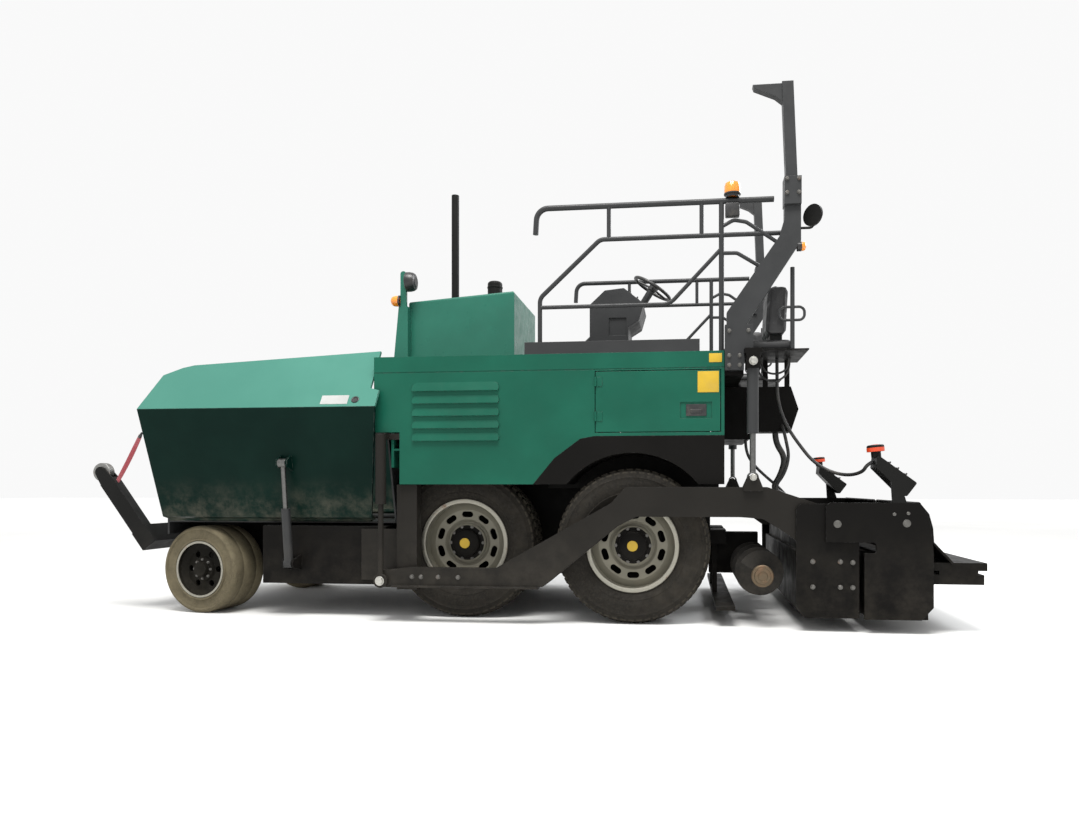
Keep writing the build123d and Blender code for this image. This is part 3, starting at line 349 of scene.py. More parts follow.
# Each paint: colour, gloss, clear coat, height up to which dust lies, dust, and strength of reflections
PAINTS = {
    "green_paint": ("paver_green_paint", (0.020, 0.132, 0.091), 0.32, 0.08, 0.6, 0.15, 0.22),
    "body_paint": ("paver_body_paint", (0.0085, 0.0900, 0.0570), 0.34, 0.04, 0.6, 0.12, 0.12),
    "dark_grey_paint": ("paver_charcoal_paint", (0.030, 0.031, 0.032), 0.42, 0.05, 0.9, 0.14, 0.22),
    # Arm paint: the tow arms' dark paint, with little dust so that it stays near-black, partly as painted
    # shade under the machine.
    "arm_paint": ("paver_arm_paint", (0.0165, 0.0150, 0.0130), 0.46, 0.0, 0.9, 0.10, 0.10),
    # A near-black paint with little dust and shine that stands for the painted shadow under the machine.
    "painted_shadow_paint": ("paver_shade_paint", (0.0075, 0.0070, 0.0065), 0.48, 0.0, 0.9, 0.07, 0.05),
    "black_paint": ("paver_black_paint", (0.009, 0.009, 0.0085), 0.46, 0.02, 0.9, 0.08, 0.10),
    "cast_dark": ("paver_casting", (0.022, 0.021, 0.020), 0.55, 0.0, 1.0, 0.20, 0.10),
    "wheel_grey": ("paver_wheel_paint", (0.200, 0.190, 0.150), 0.46, 0.0, 1.2, 0.30, 0.20),
    "wheel_dark": ("paver_steer_wheel_paint", (0.008, 0.0075, 0.006), 0.5, 0.0, 0.6, 0.10, 0.05),
}


def make_materials():
    """Every finish by name: those of the record's slots, and the scene's own ones."""
    finish = {key: paint(*values) for key, values in PAINTS.items()}
    finish["wing_paint"] = paint_wing()
    finish["worn_steel"] = steel("paver_worn_steel", (0.085, 0.080, 0.072), 0.48, 0.25,
                                 rust=(0.05, 0.035, 0.022))
    finish["roller_steel"] = steel("paver_roller_steel", (0.30, 0.30, 0.29), 0.45, 0.35, (1, 0.15, 1))
    finish["rim_edge"] = steel("paver_rim_edge", (0.40, 0.385, 0.33), 0.55, 0.15)
    finish["zinc"] = steel("paver_zinc_bolts", (0.55, 0.54, 0.50), 0.38, 0.10)
    finish["zinc_dark"] = steel("paver_dark_bolts", (0.16, 0.155, 0.145), 0.45, 0.20)
    finish["dull_rod"] = steel("paver_dull_rod", (0.16, 0.16, 0.155), 0.40, 0.10)
    finish["cap_tan"] = steel("paver_bearing_cap", (0.16, 0.125, 0.085), 0.55, 0.45)
    finish["chrome_rod"] = chrome("paver_chrome")
    finish["drive_tyre"] = rubber("paver_tyre", (0.012, 0.011, 0.0095), (0.055, 0.047, 0.036), 0.36)
    finish["drive_tread"] = rubber("paver_tread", (0.020, 0.018, 0.015), (0.085, 0.073, 0.054), 0.50)
    finish["solid_tyre"] = rubber("paver_solid_tyre", (0.085, 0.072, 0.046), (0.170, 0.145, 0.092), 0.70, 90)
    finish["amber_plastic"] = lens("paver_amber_lens", (0.90, 0.30, 0.02))
    finish["clear_lens"] = lens("paver_clear_lens", (0.55, 0.56, 0.57))
    finish["seat_vinyl"] = vinyl("paver_seat_vinyl", (0.022, 0.022, 0.023))
    finish["hose_rubber"] = hose_skin("paver_hose")
    finish["red_webbing"] = webbing("paver_red_webbing", (0.42, 0.03, 0.05))
    finish["steering_plastic"] = plastic("paver_steering_grip", (0.016, 0.016, 0.016), 0.42, 500)
    finish["lamp_black"] = plastic("paver_lamp_black", (0.013, 0.013, 0.014), 0.38, 350)
    finish["sign_yellow"] = plastic("paver_sign_yellow", (0.52, 0.335, 0.012), 0.42, 300, 0.05)
    finish["plate_grey"] = plastic("paver_plate_grey", (0.42, 0.43, 0.42), 0.40, 300, 0.05)
    finish["stop_red"] = plastic("paver_stop_red", (0.62, 0.055, 0.012), 0.30, 300, 0.05)
    return finish


def dress_nodes(finish):
    """Gives every carried-over node the finish of its slot, or one of the scene's own."""
    special = {}
    for side, _ in SIDES:
        special[f"wing_{side}"] = "wing_paint"
        special[f"wing_rod_{side}"] = "dull_rod"
        special[f"lift_rod_{side}"] = "dull_rod"
        special[f"steer_wheel_{side}"] = "wheel_dark"
    # The tow arms get their near-black paint, which is partly painted shade.
    for node in ("tow_arms", "tow_points"):
        special[node] = "arm_paint"
    # The screed, its extensions, the chassis, the frames and the fenders get the near-black paint that stands
    # for painted shadow.
    for node in ("screed", "screed_extension_left", "screed_extension_right", "chassis", "auger_frame",
                 "rear_frame", "fenders"):
        special[node] = "painted_shadow_paint"
    for node in ("body_shell", "side_door_left", "side_door_right"):
        special[node] = "body_paint"
    for part in frame["record"]["subparts"]:
        node = part["node"]
        slot = special.get(node, part["material_slot"])
        obj = NODES[node]
        obj.data.materials.clear()
        obj.data.materials.append(finish[slot])


# Mesh helpers

def mesh_object(name, shape, material, smooth=True):
    """A new object from a bmesh, which is freed."""
    data = bpy.data.meshes.new(name)
    shape.to_mesh(data)
    shape.free()
    if smooth:
        data.polygons.foreach_set("use_smooth", [True] * len(data.polygons))
    data.materials.append(material)
    obj = bpy.data.objects.new(name, data)
    bpy.context.scene.collection.objects.link(obj)
    return obj


def soft_edges(obj, angle=35):
    """Marks the edges that are sharper than an angle, so that smooth shading stops there."""
    with bpy.context.temp_override(object=obj, active_object=obj, selected_editable_objects=[obj]):
        bpy.ops.object.shade_smooth_by_angle(angle=math.radians(angle))


def place_along(axis, origin, roll=0.0):
    """Matrix that turns local Z to an axis at a point."""
    turn = Vector(axis).to_track_quat("Z", "Y").to_matrix().to_4x4()
    return Matrix.Translation(origin) @ turn @ Matrix.Rotation(roll, 4, "Z")


def add_turned(shape, outline, matrix, steps=48):
    """Adds a surface turned about local Z from (radius, height) points."""
    rings = []
    for radius, height in outline:
        ring = []
        count = steps if radius > 1e-6 else 1
        for i in range(count):
            turn = 2 * math.pi * i / steps
            point = Vector((radius * math.cos(turn), radius * math.sin(turn), height))
            ring.append(shape.verts.new(matrix @ point))
        rings.append(ring)
    for low, high in zip(rings, rings[1:]):
        for i in range(steps):
            j = (i + 1) % steps
            a, b = low[i % len(low)], low[j % len(low)]
            c, d = high[j % len(high)], high[i % len(high)]
            corners = list(dict.fromkeys((a, b, c, d)))
            if len(corners) > 2:
                shape.faces.new(corners)


def close_rings(shape, rings):
    """Joins rings of points into one closed bar."""
    for a, b in zip(rings, rings[1:]):
        for i in range(len(a)):
            j = (i + 1) % len(a)
            shape.faces.new((a[i], a[j], b[j], b[i]))
    shape.faces.new(rings[0])
    shape.faces.new(rings[-1][::-1])


def add_bolt(shape, place, axis, size, roll=0.0, rise=1.0):
    """Adds a hexagon bolt head on a washer, standing on a surface at a point."""
    tall = size * rise
    matrix = place_along(axis, place, roll)
    washer = size * 1.05
    add_turned(shape, [(washer, 0), (washer, tall * 0.16), (0, tall * 0.16)], matrix, 20)
    head = size * 0.86
    outline = [(head, tall * 0.16), (head, tall * 0.70), (head * 0.86, tall * 0.82), (0, tall * 0.82)]
    add_turned(shape, outline, matrix, 6)


def bolts(name, body, spots, size, material, rise=1.0):
    """Bolt heads as one piece that rides on a body; each spot is a place and the way it faces."""
    shape = bmesh.new()
    for i, (place, axis) in enumerate(spots):
        add_bolt(shape, place, axis, size, 0.7 * i, rise)
    obj = mesh_object(name, shape, material, smooth=False)
    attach(obj, body)


def turned_piece(name, body, matrix, outline, material, steps=64):
    """A surface turned about a matrix's Z axis, as one piece that rides on a body."""
    shape = bmesh.new()
    add_turned(shape, outline, matrix, steps)
    obj = mesh_object(name, shape, material)
    soft_edges(obj)
    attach(obj, body)
    return obj


def add_box(shape, low, high, bevel):
    """Adds a box between two corners, with rounded edges."""
    made = bmesh.ops.create_cube(shape, size=1.0)
    size = [b - a for a, b in zip(low, high)]
    middle = [(a + b) / 2 for a, b in zip(low, high)]
    for vert in made["verts"]:
        vert.co = Vector([c * s + m for c, s, m in zip(vert.co, size, middle)])
    edges = dict.fromkeys(edge for vert in made["verts"] for edge in vert.link_edges)
    bmesh.ops.bevel(shape, geom=list(edges), offset=bevel, segments=2, profile=0.6, affect="EDGES")


def box_piece(name, body, boxes, material, bevel=0.004):
    """Rounded boxes as one piece that rides on a body; each is a pair of corners in the frame."""
    shape = bmesh.new()
    for low, high in boxes:
        add_box(shape, low, high, bevel)
    obj = mesh_object(name, shape, material)
    soft_edges(obj)
    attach(obj, body)
    return obj


def mirrored(low, high, sign):
    """Two corners given for the right side, moved to a side's place."""
    y = sorted((sign * low[1], sign * high[1]))
    return (low[0], y[0], low[2]), (high[0], y[1], high[2])


def circle_spots(matrix, count, radius, height):
    """Places on a circle about a matrix's Z axis, each with that axis, for bolts."""
    axis = matrix.to_3x3() @ Vector((0, 0, 1))
    spots = []
    for i in range(count):
        turn = 2 * math.pi * i / count
        spots.append((matrix @ Vector((radius * math.cos(turn), radius * math.sin(turn), height)), axis))
    return spots


# Tyres

TREAD_PITCHES = 56
# Each row of tread blocks: offset from the middle, width, turn in pitches, and whether it is an outer row
TREAD_ROWS = (
    (-0.150, 0.052, 0.0, True), (-0.078, 0.056, 0.5, False), (0.0, 0.060, 0.0, False),
    (0.078, 0.056, 0.5, False), (0.150, 0.052, 0.0, True),
)


def tyre_section():
    """Half section of a driven tyre, from bead to crown, as (radius, offset from the middle)."""
    half = DRIVE_WIDTH / 2
    bead = half * 0.72
    return [
        (DRIVE_RIM + 0.004, bead), (DRIVE_RIM + 0.012, bead + 0.010), (DRIVE_RIM + 0.022, bead + 0.014),
        (DRIVE_RIM + 0.030, bead + 0.010), (0.385, half * 0.90), (0.400, half * 0.955), (0.404, half * 0.965),
        (0.408, half * 0.955), (0.430, half * 0.985), (0.458, half * 0.998), (0.485, half * 0.985),
        (0.512, half * 0.955), (0.516, half * 0.965), (0.520, half * 0.950), (0.540, half * 0.925),
        (0.556, half * 0.895), (0.566, half * 0.840), (0.570, half * 0.60), (0.572, half * 0.30),
        (0.573, 0.0),
    ]


def make_drive_tyre(name, x, y, finish):
    """Truck tyre: a ribbed carcass, and tread blocks in five rows round it."""
    shape = bmesh.new()
    middle = place_along((0, 1, 0), (x, y, DRIVE_RADIUS))
    half = tyre_section()
    outline = [(r, -w) for r, w in half] + [(r, w) for r, w in half[-2::-1]]
    add_turned(shape, outline, middle, 120)
    tyre_faces = len(shape.faces)
    for offset, width, phase, outer in TREAD_ROWS:
        for i in range(TREAD_PITCHES):
            turn = 2 * math.pi * (i + phase) / TREAD_PITCHES
            add_tread_block(shape, middle, turn, offset, width, outer)
    shape.faces.ensure_lookup_table()
    for i, face in enumerate(shape.faces):
        face.material_index = 0 if i < tyre_faces else 1
    obj = mesh_object(name, shape, finish["drive_tyre"])
    obj.data.materials.append(finish["drive_tread"])
    soft_edges(obj, 40)
    return obj


def add_tread_block(shape, middle, turn, offset, width, outer):
    """Adds one tread block, slanted a little and narrower at its top, on the tyre's crown."""
    length = 0.046
    skew = 0.010 if offset >= 0 else -0.010
    top = DRIVE_RADIUS - 0.0005 - (0.012 if outer else 0.0)
    foot = 0.560
    corners = []
    for radius, shrink in ((foot, 1.0), (top - 0.004, 0.97), (top, 0.86)):
        ring = []
        for u, v in ((-1, -1), (1, -1), (1, 1), (-1, 1)):
            along = u * length / 2 * shrink + v * skew
            across = offset + v * width / 2 * shrink
            drop = 0.012 if outer and abs(across) > 0.160 else 0.0
            angle = turn + along / DRIVE_RADIUS
            point = Vector(((radius - drop) * math.cos(angle), (radius - drop) * math.sin(angle), across))
            ring.append(shape.verts.new(middle @ point))
        corners.append(ring)
    for low, high in zip(corners, corners[1:]):
        for i in range(4):
            j = (i + 1) % 4
            shape.faces.new((low[i], low[j], high[j], high[i]))
    shape.faces.new(corners[-1])


def make_steer_tyre(name, side, finish):
    """Solid rubber tyre with a worn flat tread and ringed side walls."""
    half = STEER_WIDTH / 2
    tread = STEER_RADIUS - 0.0005
    section = [
        (STEER_RIM + 0.001, half - 0.010), (STEER_RIM + 0.006, half - 0.002),
        (STEER_RIM + 0.016, half - 0.002), (STEER_RIM + 0.022, half - 0.014), (0.285, half - 0.016),
        (0.318, half - 0.012), (0.326, half - 0.001), (0.335, half), (0.345, half - 0.006),
        (0.353, half - 0.018), (tread, half - 0.035), (tread, half * 0.42),
        (STEER_RADIUS - 0.003, half * 0.40), (tread, half * 0.38), (tread, 0.0),
    ]
    outline = [(r, -w) for r, w in section] + [(r, w) for r, w in section[-2::-1]]
    shape = bmesh.new()
    add_turned(shape, outline, steer_matrix(side), 120)
    obj = mesh_object(name, shape, finish["solid_tyre"])
    soft_edges(obj, 40)
    return obj


def steer_matrix(side):
    """Place of a front wheel: local Z is the wheel's axis, and points to the machine's right."""
    offset = side * (STEER_Y - KINGPIN_Y)
    turn = Matrix.Rotation(STEER_REST, 4, "Z")
    kingpin = Matrix.Translation((STEER_X, side * KINGPIN_Y, 0))
    return kingpin @ turn @ place_along((0, 1, 0), (0, offset, STEER_RADIUS))


def make_tyres(finish):
    """The four driven tyres and the two steered ones."""
    for place, x, y in DRIVE_WHEELS:
        for side, sign in SIDES:
            body = f"{place}_drive_wheel_{side}"
            tyre = make_drive_tyre(f"{place}_tread_{side}", x, sign * y, finish)
            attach(tyre, body)
            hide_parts(f"{place}_drive_tyre_{side}")
    for side, sign in SIDES:
        tyre = make_steer_tyre(f"steer_tread_{side}", sign, finish)
        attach(tyre, f"steer_wheel_{side}")
        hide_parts(f"steer_tyre_{side}")


# Wheel trim and wheel arches

RIM_EDGE = [(0.3175, 0.1100), (0.3180, 0.1530), (0.322, 0.1552), (0.334, 0.1558), (0.347, 0.1545),
            (0.3512, 0.1500), (0.3512, 0.1440)]
HUB_PLUG = [(0.042, 0.1415), (0.039, 0.1455), (0.0, 0.1465)]
HUB_COVER = [(0.139, 0.0660), (0.1385, 0.0712), (0.113, 0.0795), (0.1072, 0.1245), (0.0890, 0.1393),
             (0.040, 0.1432)]
STEER_EDGE = [(0.213, 0.1660), (0.214, 0.1705), (0.230, 0.1710), (0.2318, 0.1680)]


def make_wheel_trim(finish):
    """Bright rim edges, wheel nuts, and the dark covers and yellow plugs of the hubs."""
    # The hub covers take the near-black paint that also stands for painted shadow.
    rim, cover, plug = finish["rim_edge"], finish["painted_shadow_paint"], finish["sign_yellow"]
    for place, x, y in DRIVE_WHEELS:
        for side, sign in SIDES:
            body = f"{place}_drive_wheel_{side}"
            matrix = place_along((0, sign, 0), (x, sign * y, DRIVE_RADIUS))
            turned_piece(f"{place}_rim_edge_{side}", body, matrix, RIM_EDGE, rim, 96)
            turned_piece(f"{place}_hub_cover_{side}", body, matrix, HUB_COVER, cover)
            turned_piece(f"{place}_hub_plug_{side}", body, matrix, HUB_PLUG, plug, 24)
            nuts = circle_spots(matrix, 10, 0.129, 0.0735)
            bolts(f"{place}_wheel_nuts_{side}", body, nuts, 0.0135, finish["zinc_dark"])
    for side, sign in SIDES:
        body = f"steer_wheel_{side}"
        matrix = steer_matrix(sign)
        if sign == LEFT:
            matrix = matrix @ Matrix.Rotation(math.pi, 4, "X")
        turned_piece(f"steer_rim_edge_{side}", body, matrix, STEER_EDGE, rim, 96)
        nuts = circle_spots(matrix, 8, 0.078, 0.1352)
        bolts(f"steer_wheel_nuts_{side}", body, nuts, 0.0115, finish["zinc_dark"])


def make_arch_liners(finish):
    """Dark inner walls of the rear wheel arches, between the wheels and the chassis."""
    for side, sign in SIDES:
        wall = mirrored((0.330, 0.640, 1.020), (1.700, 0.652, 1.330), sign)
        # The liners take the near-black paint that stands for painted shadow.
        box_piece(f"arch_liner_{side}", "root", [wall], finish["painted_shadow_paint"])


# Lamps

WORK_LAMP = (-0.830, 0.520, 2.770)
MARKER_LAMP = (-0.965, 0.520, 2.610)
SIDE_LAMP = (2.262, 1.130, 2.767)
BEACON = (1.780, -1.072, 3.161)


def make_lamps(finish):
    """Black work lamps, amber marker and side lamps with dark feet, and the beacon on its socket."""
    black, amber = finish["lamp_black"], finish["amber_plastic"]
    for side, sign in SIDES:
        x, y, z = WORK_LAMP
        matrix = place_along((-1, 0, 0), (x, sign * y, z))
        drum = [(0.0, 0.0), (0.040, 0.0), (0.046, 0.006), (0.066, 0.010), (0.076, 0.026), (0.0795, 0.044),
                (0.0815, 0.052), (0.0815, 0.080), (0.077, 0.0845), (0.073, 0.080)]
        housing = turned_piece(f"work_lamp_{side}", "root", matrix, drum, black)
        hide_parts("lamps")
        face = [(0.073, 0.079), (0.055, 0.0815), (0.030, 0.083), (0.0, 0.0835)]
        turned_piece(f"work_lamp_glass_{side}", "root", matrix, face, finish["clear_lens"])
        x, y, z = MARKER_LAMP
        matrix = place_along((-1, 0, 0), (x, sign * y, z))
        foot = [(0.0475, 0.0), (0.0475, 0.016), (0.044, 0.018)]
        dome = [(0.044, 0.014), (0.0455, 0.030), (0.044, 0.056), (0.037, 0.073), (0.022, 0.083), (0.0, 0.085)]
        turned_piece(f"marker_foot_{side}", "root", matrix, foot, black)
        turned_piece(f"marker_lens_{side}", "root", matrix, dome, amber)
        x, y, z = SIDE_LAMP
        matrix = place_along((1, 0, 0), (x, sign * y, z))
        foot = [(0.034, -0.024), (0.034, 0.006), (0.031, 0.008)]
        dome = [(0.031, 0.004), (0.032, 0.016), (0.029, 0.030), (0.018, 0.037), (0.0, 0.038)]
        turned_piece(f"side_lamp_foot_{side}", "root", matrix, foot, black)
        turned_piece(f"side_lamp_lens_{side}", "root", matrix, dome, amber)
    matrix = place_along((0, 0, 1), BEACON)
    foot = [(0.050, 0.0), (0.050, 0.016), (0.0620, 0.022), (0.0620, 0.030), (0.058, 0.032)]
    dome = [(0.058, 0.030), (0.0600, 0.045), (0.0590, 0.085), (0.052, 0.104), (0.034, 0.116), (0.0, 0.119)]
    turned_piece("beacon_foot", "root", matrix, foot, black)
    turned_piece("beacon_dome", "root", matrix, dome, amber)
    x, y, z = BEACON
    socket = ((x - 0.052, y - 0.030, z - 0.142), (x + 0.052, y + 0.030, z - 0.042))
    box_piece("beacon_socket", "root", [socket], black, 0.010)


# Seats

def bake(obj):
    """Turns a piece's modifiers into its mesh."""
    graph = bpy.context.evaluated_depsgraph_get()
    data = bpy.data.meshes.new_from_object(obj.evaluated_get(graph))
    obj.modifiers.clear()
    obj.data = data


def inflate(obj, voxel, most):
    """Gives a pad an even mesh and blows it up as cloth; no point moves further than a limit."""
    remesh = obj.modifiers.new("even", "REMESH")
    remesh.mode = "VOXEL"
    remesh.voxel_size = voxel
    bake(obj)
    rest = [vert.co.copy() for vert in obj.data.vertices]
    cloth = obj.modifiers.new("cloth", "CLOTH")
    cloth.settings.use_pressure = True
    cloth.settings.uniform_pressure_force = 4
    cloth.settings.effector_weights.gravity = 0
    for number in range(1, 21):
        bpy.context.scene.frame_set(number)
    bake(obj)
    bpy.context.scene.frame_set(1)
    for vert, start in zip(obj.data.vertices, rest):
        move = vert.co - start
        if move.length > most:
            vert.co = start + move.normalized() * most
    obj.modifiers.new("smooth", "SUBSURF").levels = 1
    bake(obj)
    obj.data.polygons.foreach_set("use_smooth", [True] * len(obj.data.polygons))


def make_pad(name, low, high, lean, crown, finish):
    """A padded vinyl cushion that starts as a rounded box, leaning back and arched on top."""
    shape = bmesh.new()
    add_box(shape, low, high, 0.026)
    bmesh.ops.subdivide_edges(shape, edges=shape.edges[:], cuts=3, use_grid_fill=True)
    middle = [(a + b) / 2 for a, b in zip(low, high)]
    half = (high[1] - low[1]) / 2
    for vert in shape.verts:
        side = abs(vert.co.y - middle[1]) / half
        vert.co.z += crown * (1 - side * side) * (1 if vert.co.z > middle[2] else 0)
        vert.co.x += lean * (vert.co.z - low[2])
    obj = mesh_object(name, shape, finish["seat_vinyl"])
    inflate(obj, 0.008, 0.012)
    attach(obj, "root")
    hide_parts("seats")


def make_seats(finish):
    """A cushion and a back on each rear platform, with the bracket that joins them."""
    for side, sign in SIDES:
        low, high = mirrored((1.894, 0.654, 2.050), (2.236, 1.031, 2.110), sign)
        make_pad(f"seat_cushion_{side}", low, high, 0.0, 0.010, finish)
        low, high = mirrored((2.038, 0.654, 2.155), (2.165, 1.031, 2.520), sign)
        make_pad(f"seat_back_{side}", low, high, 0.05, 0.012, finish)
        plates = [
            mirrored((2.060, 0.700, 2.095), (2.150, 0.985, 2.165), sign),
            mirrored((1.900, 0.670, 2.041), (2.230, 1.015, 2.056), sign),
        ]
        bracket = box_piece(f"seat_bracket_{side}", "root", plates, finish["black_paint"])
        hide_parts("seats")


# Strap and hoses

STRAP_LOW = (-3.2973, -0.870, 1.0781)
STRAP_HIGH = (-2.834, -1.186, 1.460)
STRAP_WIDTH = 0.034
STRAP_STEPS = 60


def make_strap(finish):
    """Red webbing from the raised push beam to the wing's front edge, with a dark hook at its top."""
    low, high = Vector(STRAP_LOW), Vector(STRAP_HIGH)
    along = (high - low).normalized()
    across = Vector((0, 1, 0)).cross(along).normalized()
    through = along.cross(across)
    section = [(-1, -1), (-0.9, -1.35), (0.9, -1.35), (1, -1), (1, 1), (0.9, 1.35), (-0.9, 1.35), (-1, 1)]
    shape = bmesh.new()
    rings = []
    for i in range(STRAP_STEPS + 1):
        t = i / STRAP_STEPS
        point = low.lerp(high, 0.002 + 0.93 * t)
        point.z -= 0.010 * math.sin(math.pi * t)
        turn = 0.5 * math.sin(math.pi * t)
        wide = across * math.cos(turn) + through * math.sin(turn)
        thick = through * math.cos(turn) - across * math.sin(turn)
        corners = []
        for u, v in section:
            corners.append(shape.verts.new(point + wide * (u * STRAP_WIDTH / 2) + thick * (v * 0.0012)))
        rings.append(corners)
    close_rings(shape, rings)
    strap = mesh_object("beam_strap_webbing", shape, finish["red_webbing"])
    soft_edges(strap, 50)
    hook_shape = bmesh.new()
    matrix = place_along(along, low.lerp(high, 0.90))
    reach = (high - low).length * 0.10
    add_turned(hook_shape, [(0.0, 0.0), (0.010, 0.002), (0.014, 0.012), (0.010, reach * 0.6),
                            (0.007, reach - 0.003), (0.0, reach - 0.001)], matrix, 20)
    hook = mesh_object("beam_strap_hook", hook_shape, finish["lamp_black"])
    for piece in (strap, hook):
        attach(piece, "push_beam")
        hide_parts("beam_strap")
        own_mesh(piece)


def hose_curve(name, points, diameter, material):
    """A hose as a smooth curve through its route's control points."""
    curve = bpy.data.curves.new(name, "CURVE")
    curve.dimensions = "3D"
    curve.bevel_depth = diameter / 2
    curve.bevel_resolution = 5
    curve.resolution_u = 16
    curve.use_fill_caps = True
    spline = curve.splines.new("NURBS")
    spline.points.add(len(points) - 1)
    for point, place in zip(spline.points, points):
        point.co = (*place, 1)
    spline.order_u = 3
    spline.use_endpoint_u = True
    curve.materials.append(material)
    obj = bpy.data.objects.new(name, curve)
    bpy.context.scene.collection.objects.link(obj)
    return obj


# Each hose or cable: its route, length and diameter
HOSE_Y = -0.470
HOSES = {
    "screed_hose": ([
        (2.160, HOSE_Y, 1.470), (2.160, HOSE_Y, 1.390), (2.240, HOSE_Y, 1.270), (2.205, HOSE_Y, 1.130),
        (2.130, HOSE_Y, 1.010), (2.290, HOSE_Y, 0.932), (2.345, HOSE_Y, 0.878)], 0.72, 0.048),
    "control_hose": ([
        (2.146, -0.700, 2.029), (2.146, -0.700, 1.900), (2.150, -0.700, 1.700), (2.215, -0.700, 1.510),
        (2.320, -0.710, 1.350), (2.420, -0.730, 1.220), (2.545, -0.790, 1.140), (2.650, -0.910, 1.115),
        (2.715, -1.060, 1.140), (2.730, -1.110, 1.190), (2.768, -1.120, 1.210)], 1.47, 0.026),
    "side_hose": ([
        (2.200, -0.571, 1.520), (2.202, -0.615, 1.500), (2.225, -0.625, 1.400), (2.250, -0.625, 1.268),
        (2.213, -0.625, 1.133), (2.135, -0.625, 1.030), (2.190, -0.625, 0.930), (2.310, -0.625, 0.910),
        (2.340, -0.625, 0.861)], 0.81, 0.026),
    "valve_hose": ([
        (1.930, -0.380, 1.419), (1.930, -0.380, 1.330), (1.985, -0.400, 1.220), (2.085, -0.420, 1.120),
        (2.190, -0.430, 1.030), (2.270, -0.430, 0.940), (2.310, -0.430, 0.861)], 0.70, 0.024),
    "platform_cable_low": ([
        (1.990, -0.720, 2.029), (1.990, -0.720, 1.950), (2.040, -0.720, 1.870), (2.120, -0.720, 1.845),
        (2.200, -0.720, 1.880), (2.240, -0.720, 1.950), (2.240, -0.720, 2.029)], 0.49, 0.016),
    "platform_cable_high": ([
        (2.020, -0.760, 2.029), (2.020, -0.760, 1.965), (2.060, -0.760, 1.915), (2.130, -0.760, 1.900),
        (2.200, -0.760, 1.925), (2.225, -0.760, 1.975), (2.225, -0.760, 2.029)], 0.37, 0.016),
}


def hose_tube(name, points, diameter, material):
    """A hose as a mesh, and the points of the line that it follows."""
    curve = hose_curve(f"{name}_line", points, diameter, material)
    graph = bpy.context.evaluated_depsgraph_get()
    data = bpy.data.meshes.new_from_object(curve.evaluated_get(graph))
    curve.data.bevel_depth = 0
    graph = bpy.context.evaluated_depsgraph_get()
    line = bpy.data.meshes.new_from_object(curve.evaluated_get(graph))
    path = [tuple(vert.co) for vert in line.vertices]
    bpy.data.objects.remove(curve)
    data.polygons.foreach_set("use_smooth", [True] * len(data.polygons))
    obj = bpy.data.objects.new(name, data)
    bpy.context.scene.collection.objects.link(obj)
    return obj, path


def make_hoses(finish):
    """The hoses to the screed and its control box, and the cables of the platform."""
    for name, (route, length, diameter) in HOSES.items():
        path = None
        if name.startswith("platform"):
            hose = hose_curve(name, route, diameter, finish["hose_rubber"])
            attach(hose, "root")
        else:
            hose, path = hose_tube(name, route, diameter, finish["hose_rubber"])
            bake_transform(hose)
        if name == "screed_hose":
            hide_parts("hoses")


# Auger

AUGER = (1.990, 0.385)
AUGER_REACH = 1.180
SHAFT_RADIUS = 0.045
FLIGHT_RADIUS = 0.1755
FLIGHT_PITCH = 0.290
FLIGHT_Y = (0.090, 1.080)
STEPS_PER_TURN = 44


def add_flight(shape, start, end, hand):
    """Adds a helical flight about the auger's shaft between two y positions."""
    steps = int(abs(end - start) / FLIGHT_PITCH * STEPS_PER_TURN)
    foot = SHAFT_RADIUS - 0.002
    section = ((foot, -0.008), (FLIGHT_RADIUS, -0.004), (FLIGHT_RADIUS, 0.004), (foot, 0.008))
    rings = []
    for i in range(steps + 1):
        y = start + (end - start) * i / steps
        turn = hand * 2 * math.pi * (y - start) / FLIGHT_PITCH
        ring = []
        for radius, offset in section:
            x = AUGER[0] + radius * math.cos(turn)
            z = AUGER[1] + radius * math.sin(turn)
            ring.append(shape.verts.new((x, y + offset, z)))
        rings.append(ring)
    close_rings(shape, rings)


def make_auger(finish):
    """Auger shaft with a left-hand and a right-hand flight, and a bearing cap with a collar at each end."""
    shape = bmesh.new()
    reach = AUGER_REACH - 0.020
    shaft = [(0.0, -reach), (SHAFT_RADIUS, -reach), (SHAFT_RADIUS, reach), (0.0, reach)]
    add_turned(shape, shaft, place_along((0, 1, 0), (AUGER[0], 0, AUGER[1])), 40)
    for sign in (LEFT, RIGHT):
        add_flight(shape, sign * FLIGHT_Y[0], sign * FLIGHT_Y[1], sign)
    bmesh.ops.recalc_face_normals(shape, faces=shape.faces[:])
    screw = mesh_object("auger_screw", shape, finish["cast_dark"])
    soft_edges(screw, 40)
    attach(screw, "auger")
    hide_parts("auger")
    cap = [(0.045, -0.070), (0.074, -0.060), (0.080, -0.048), (0.080, -0.016), (0.074, -0.010),
           (0.060, -0.009), (0.057, -0.001), (0.036, 0.0), (0.034, -0.006), (0.0, -0.006)]
    for side, sign in SIDES:
        matrix = place_along((0, sign, 0), (AUGER[0], sign * AUGER_REACH, AUGER[1]))
        piece = turned_piece(f"auger_cap_{side}", "auger", matrix, cap, finish["cap_tan"], 48)
        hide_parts("auger")


# Bolts, pins, signs and small fittings

def both(places):
    """Places given for the right side, on both sides, facing outwards."""
    return [((x, sign * y, z), (0, sign, 0)) for _, sign in SIDES for x, y, z in places]


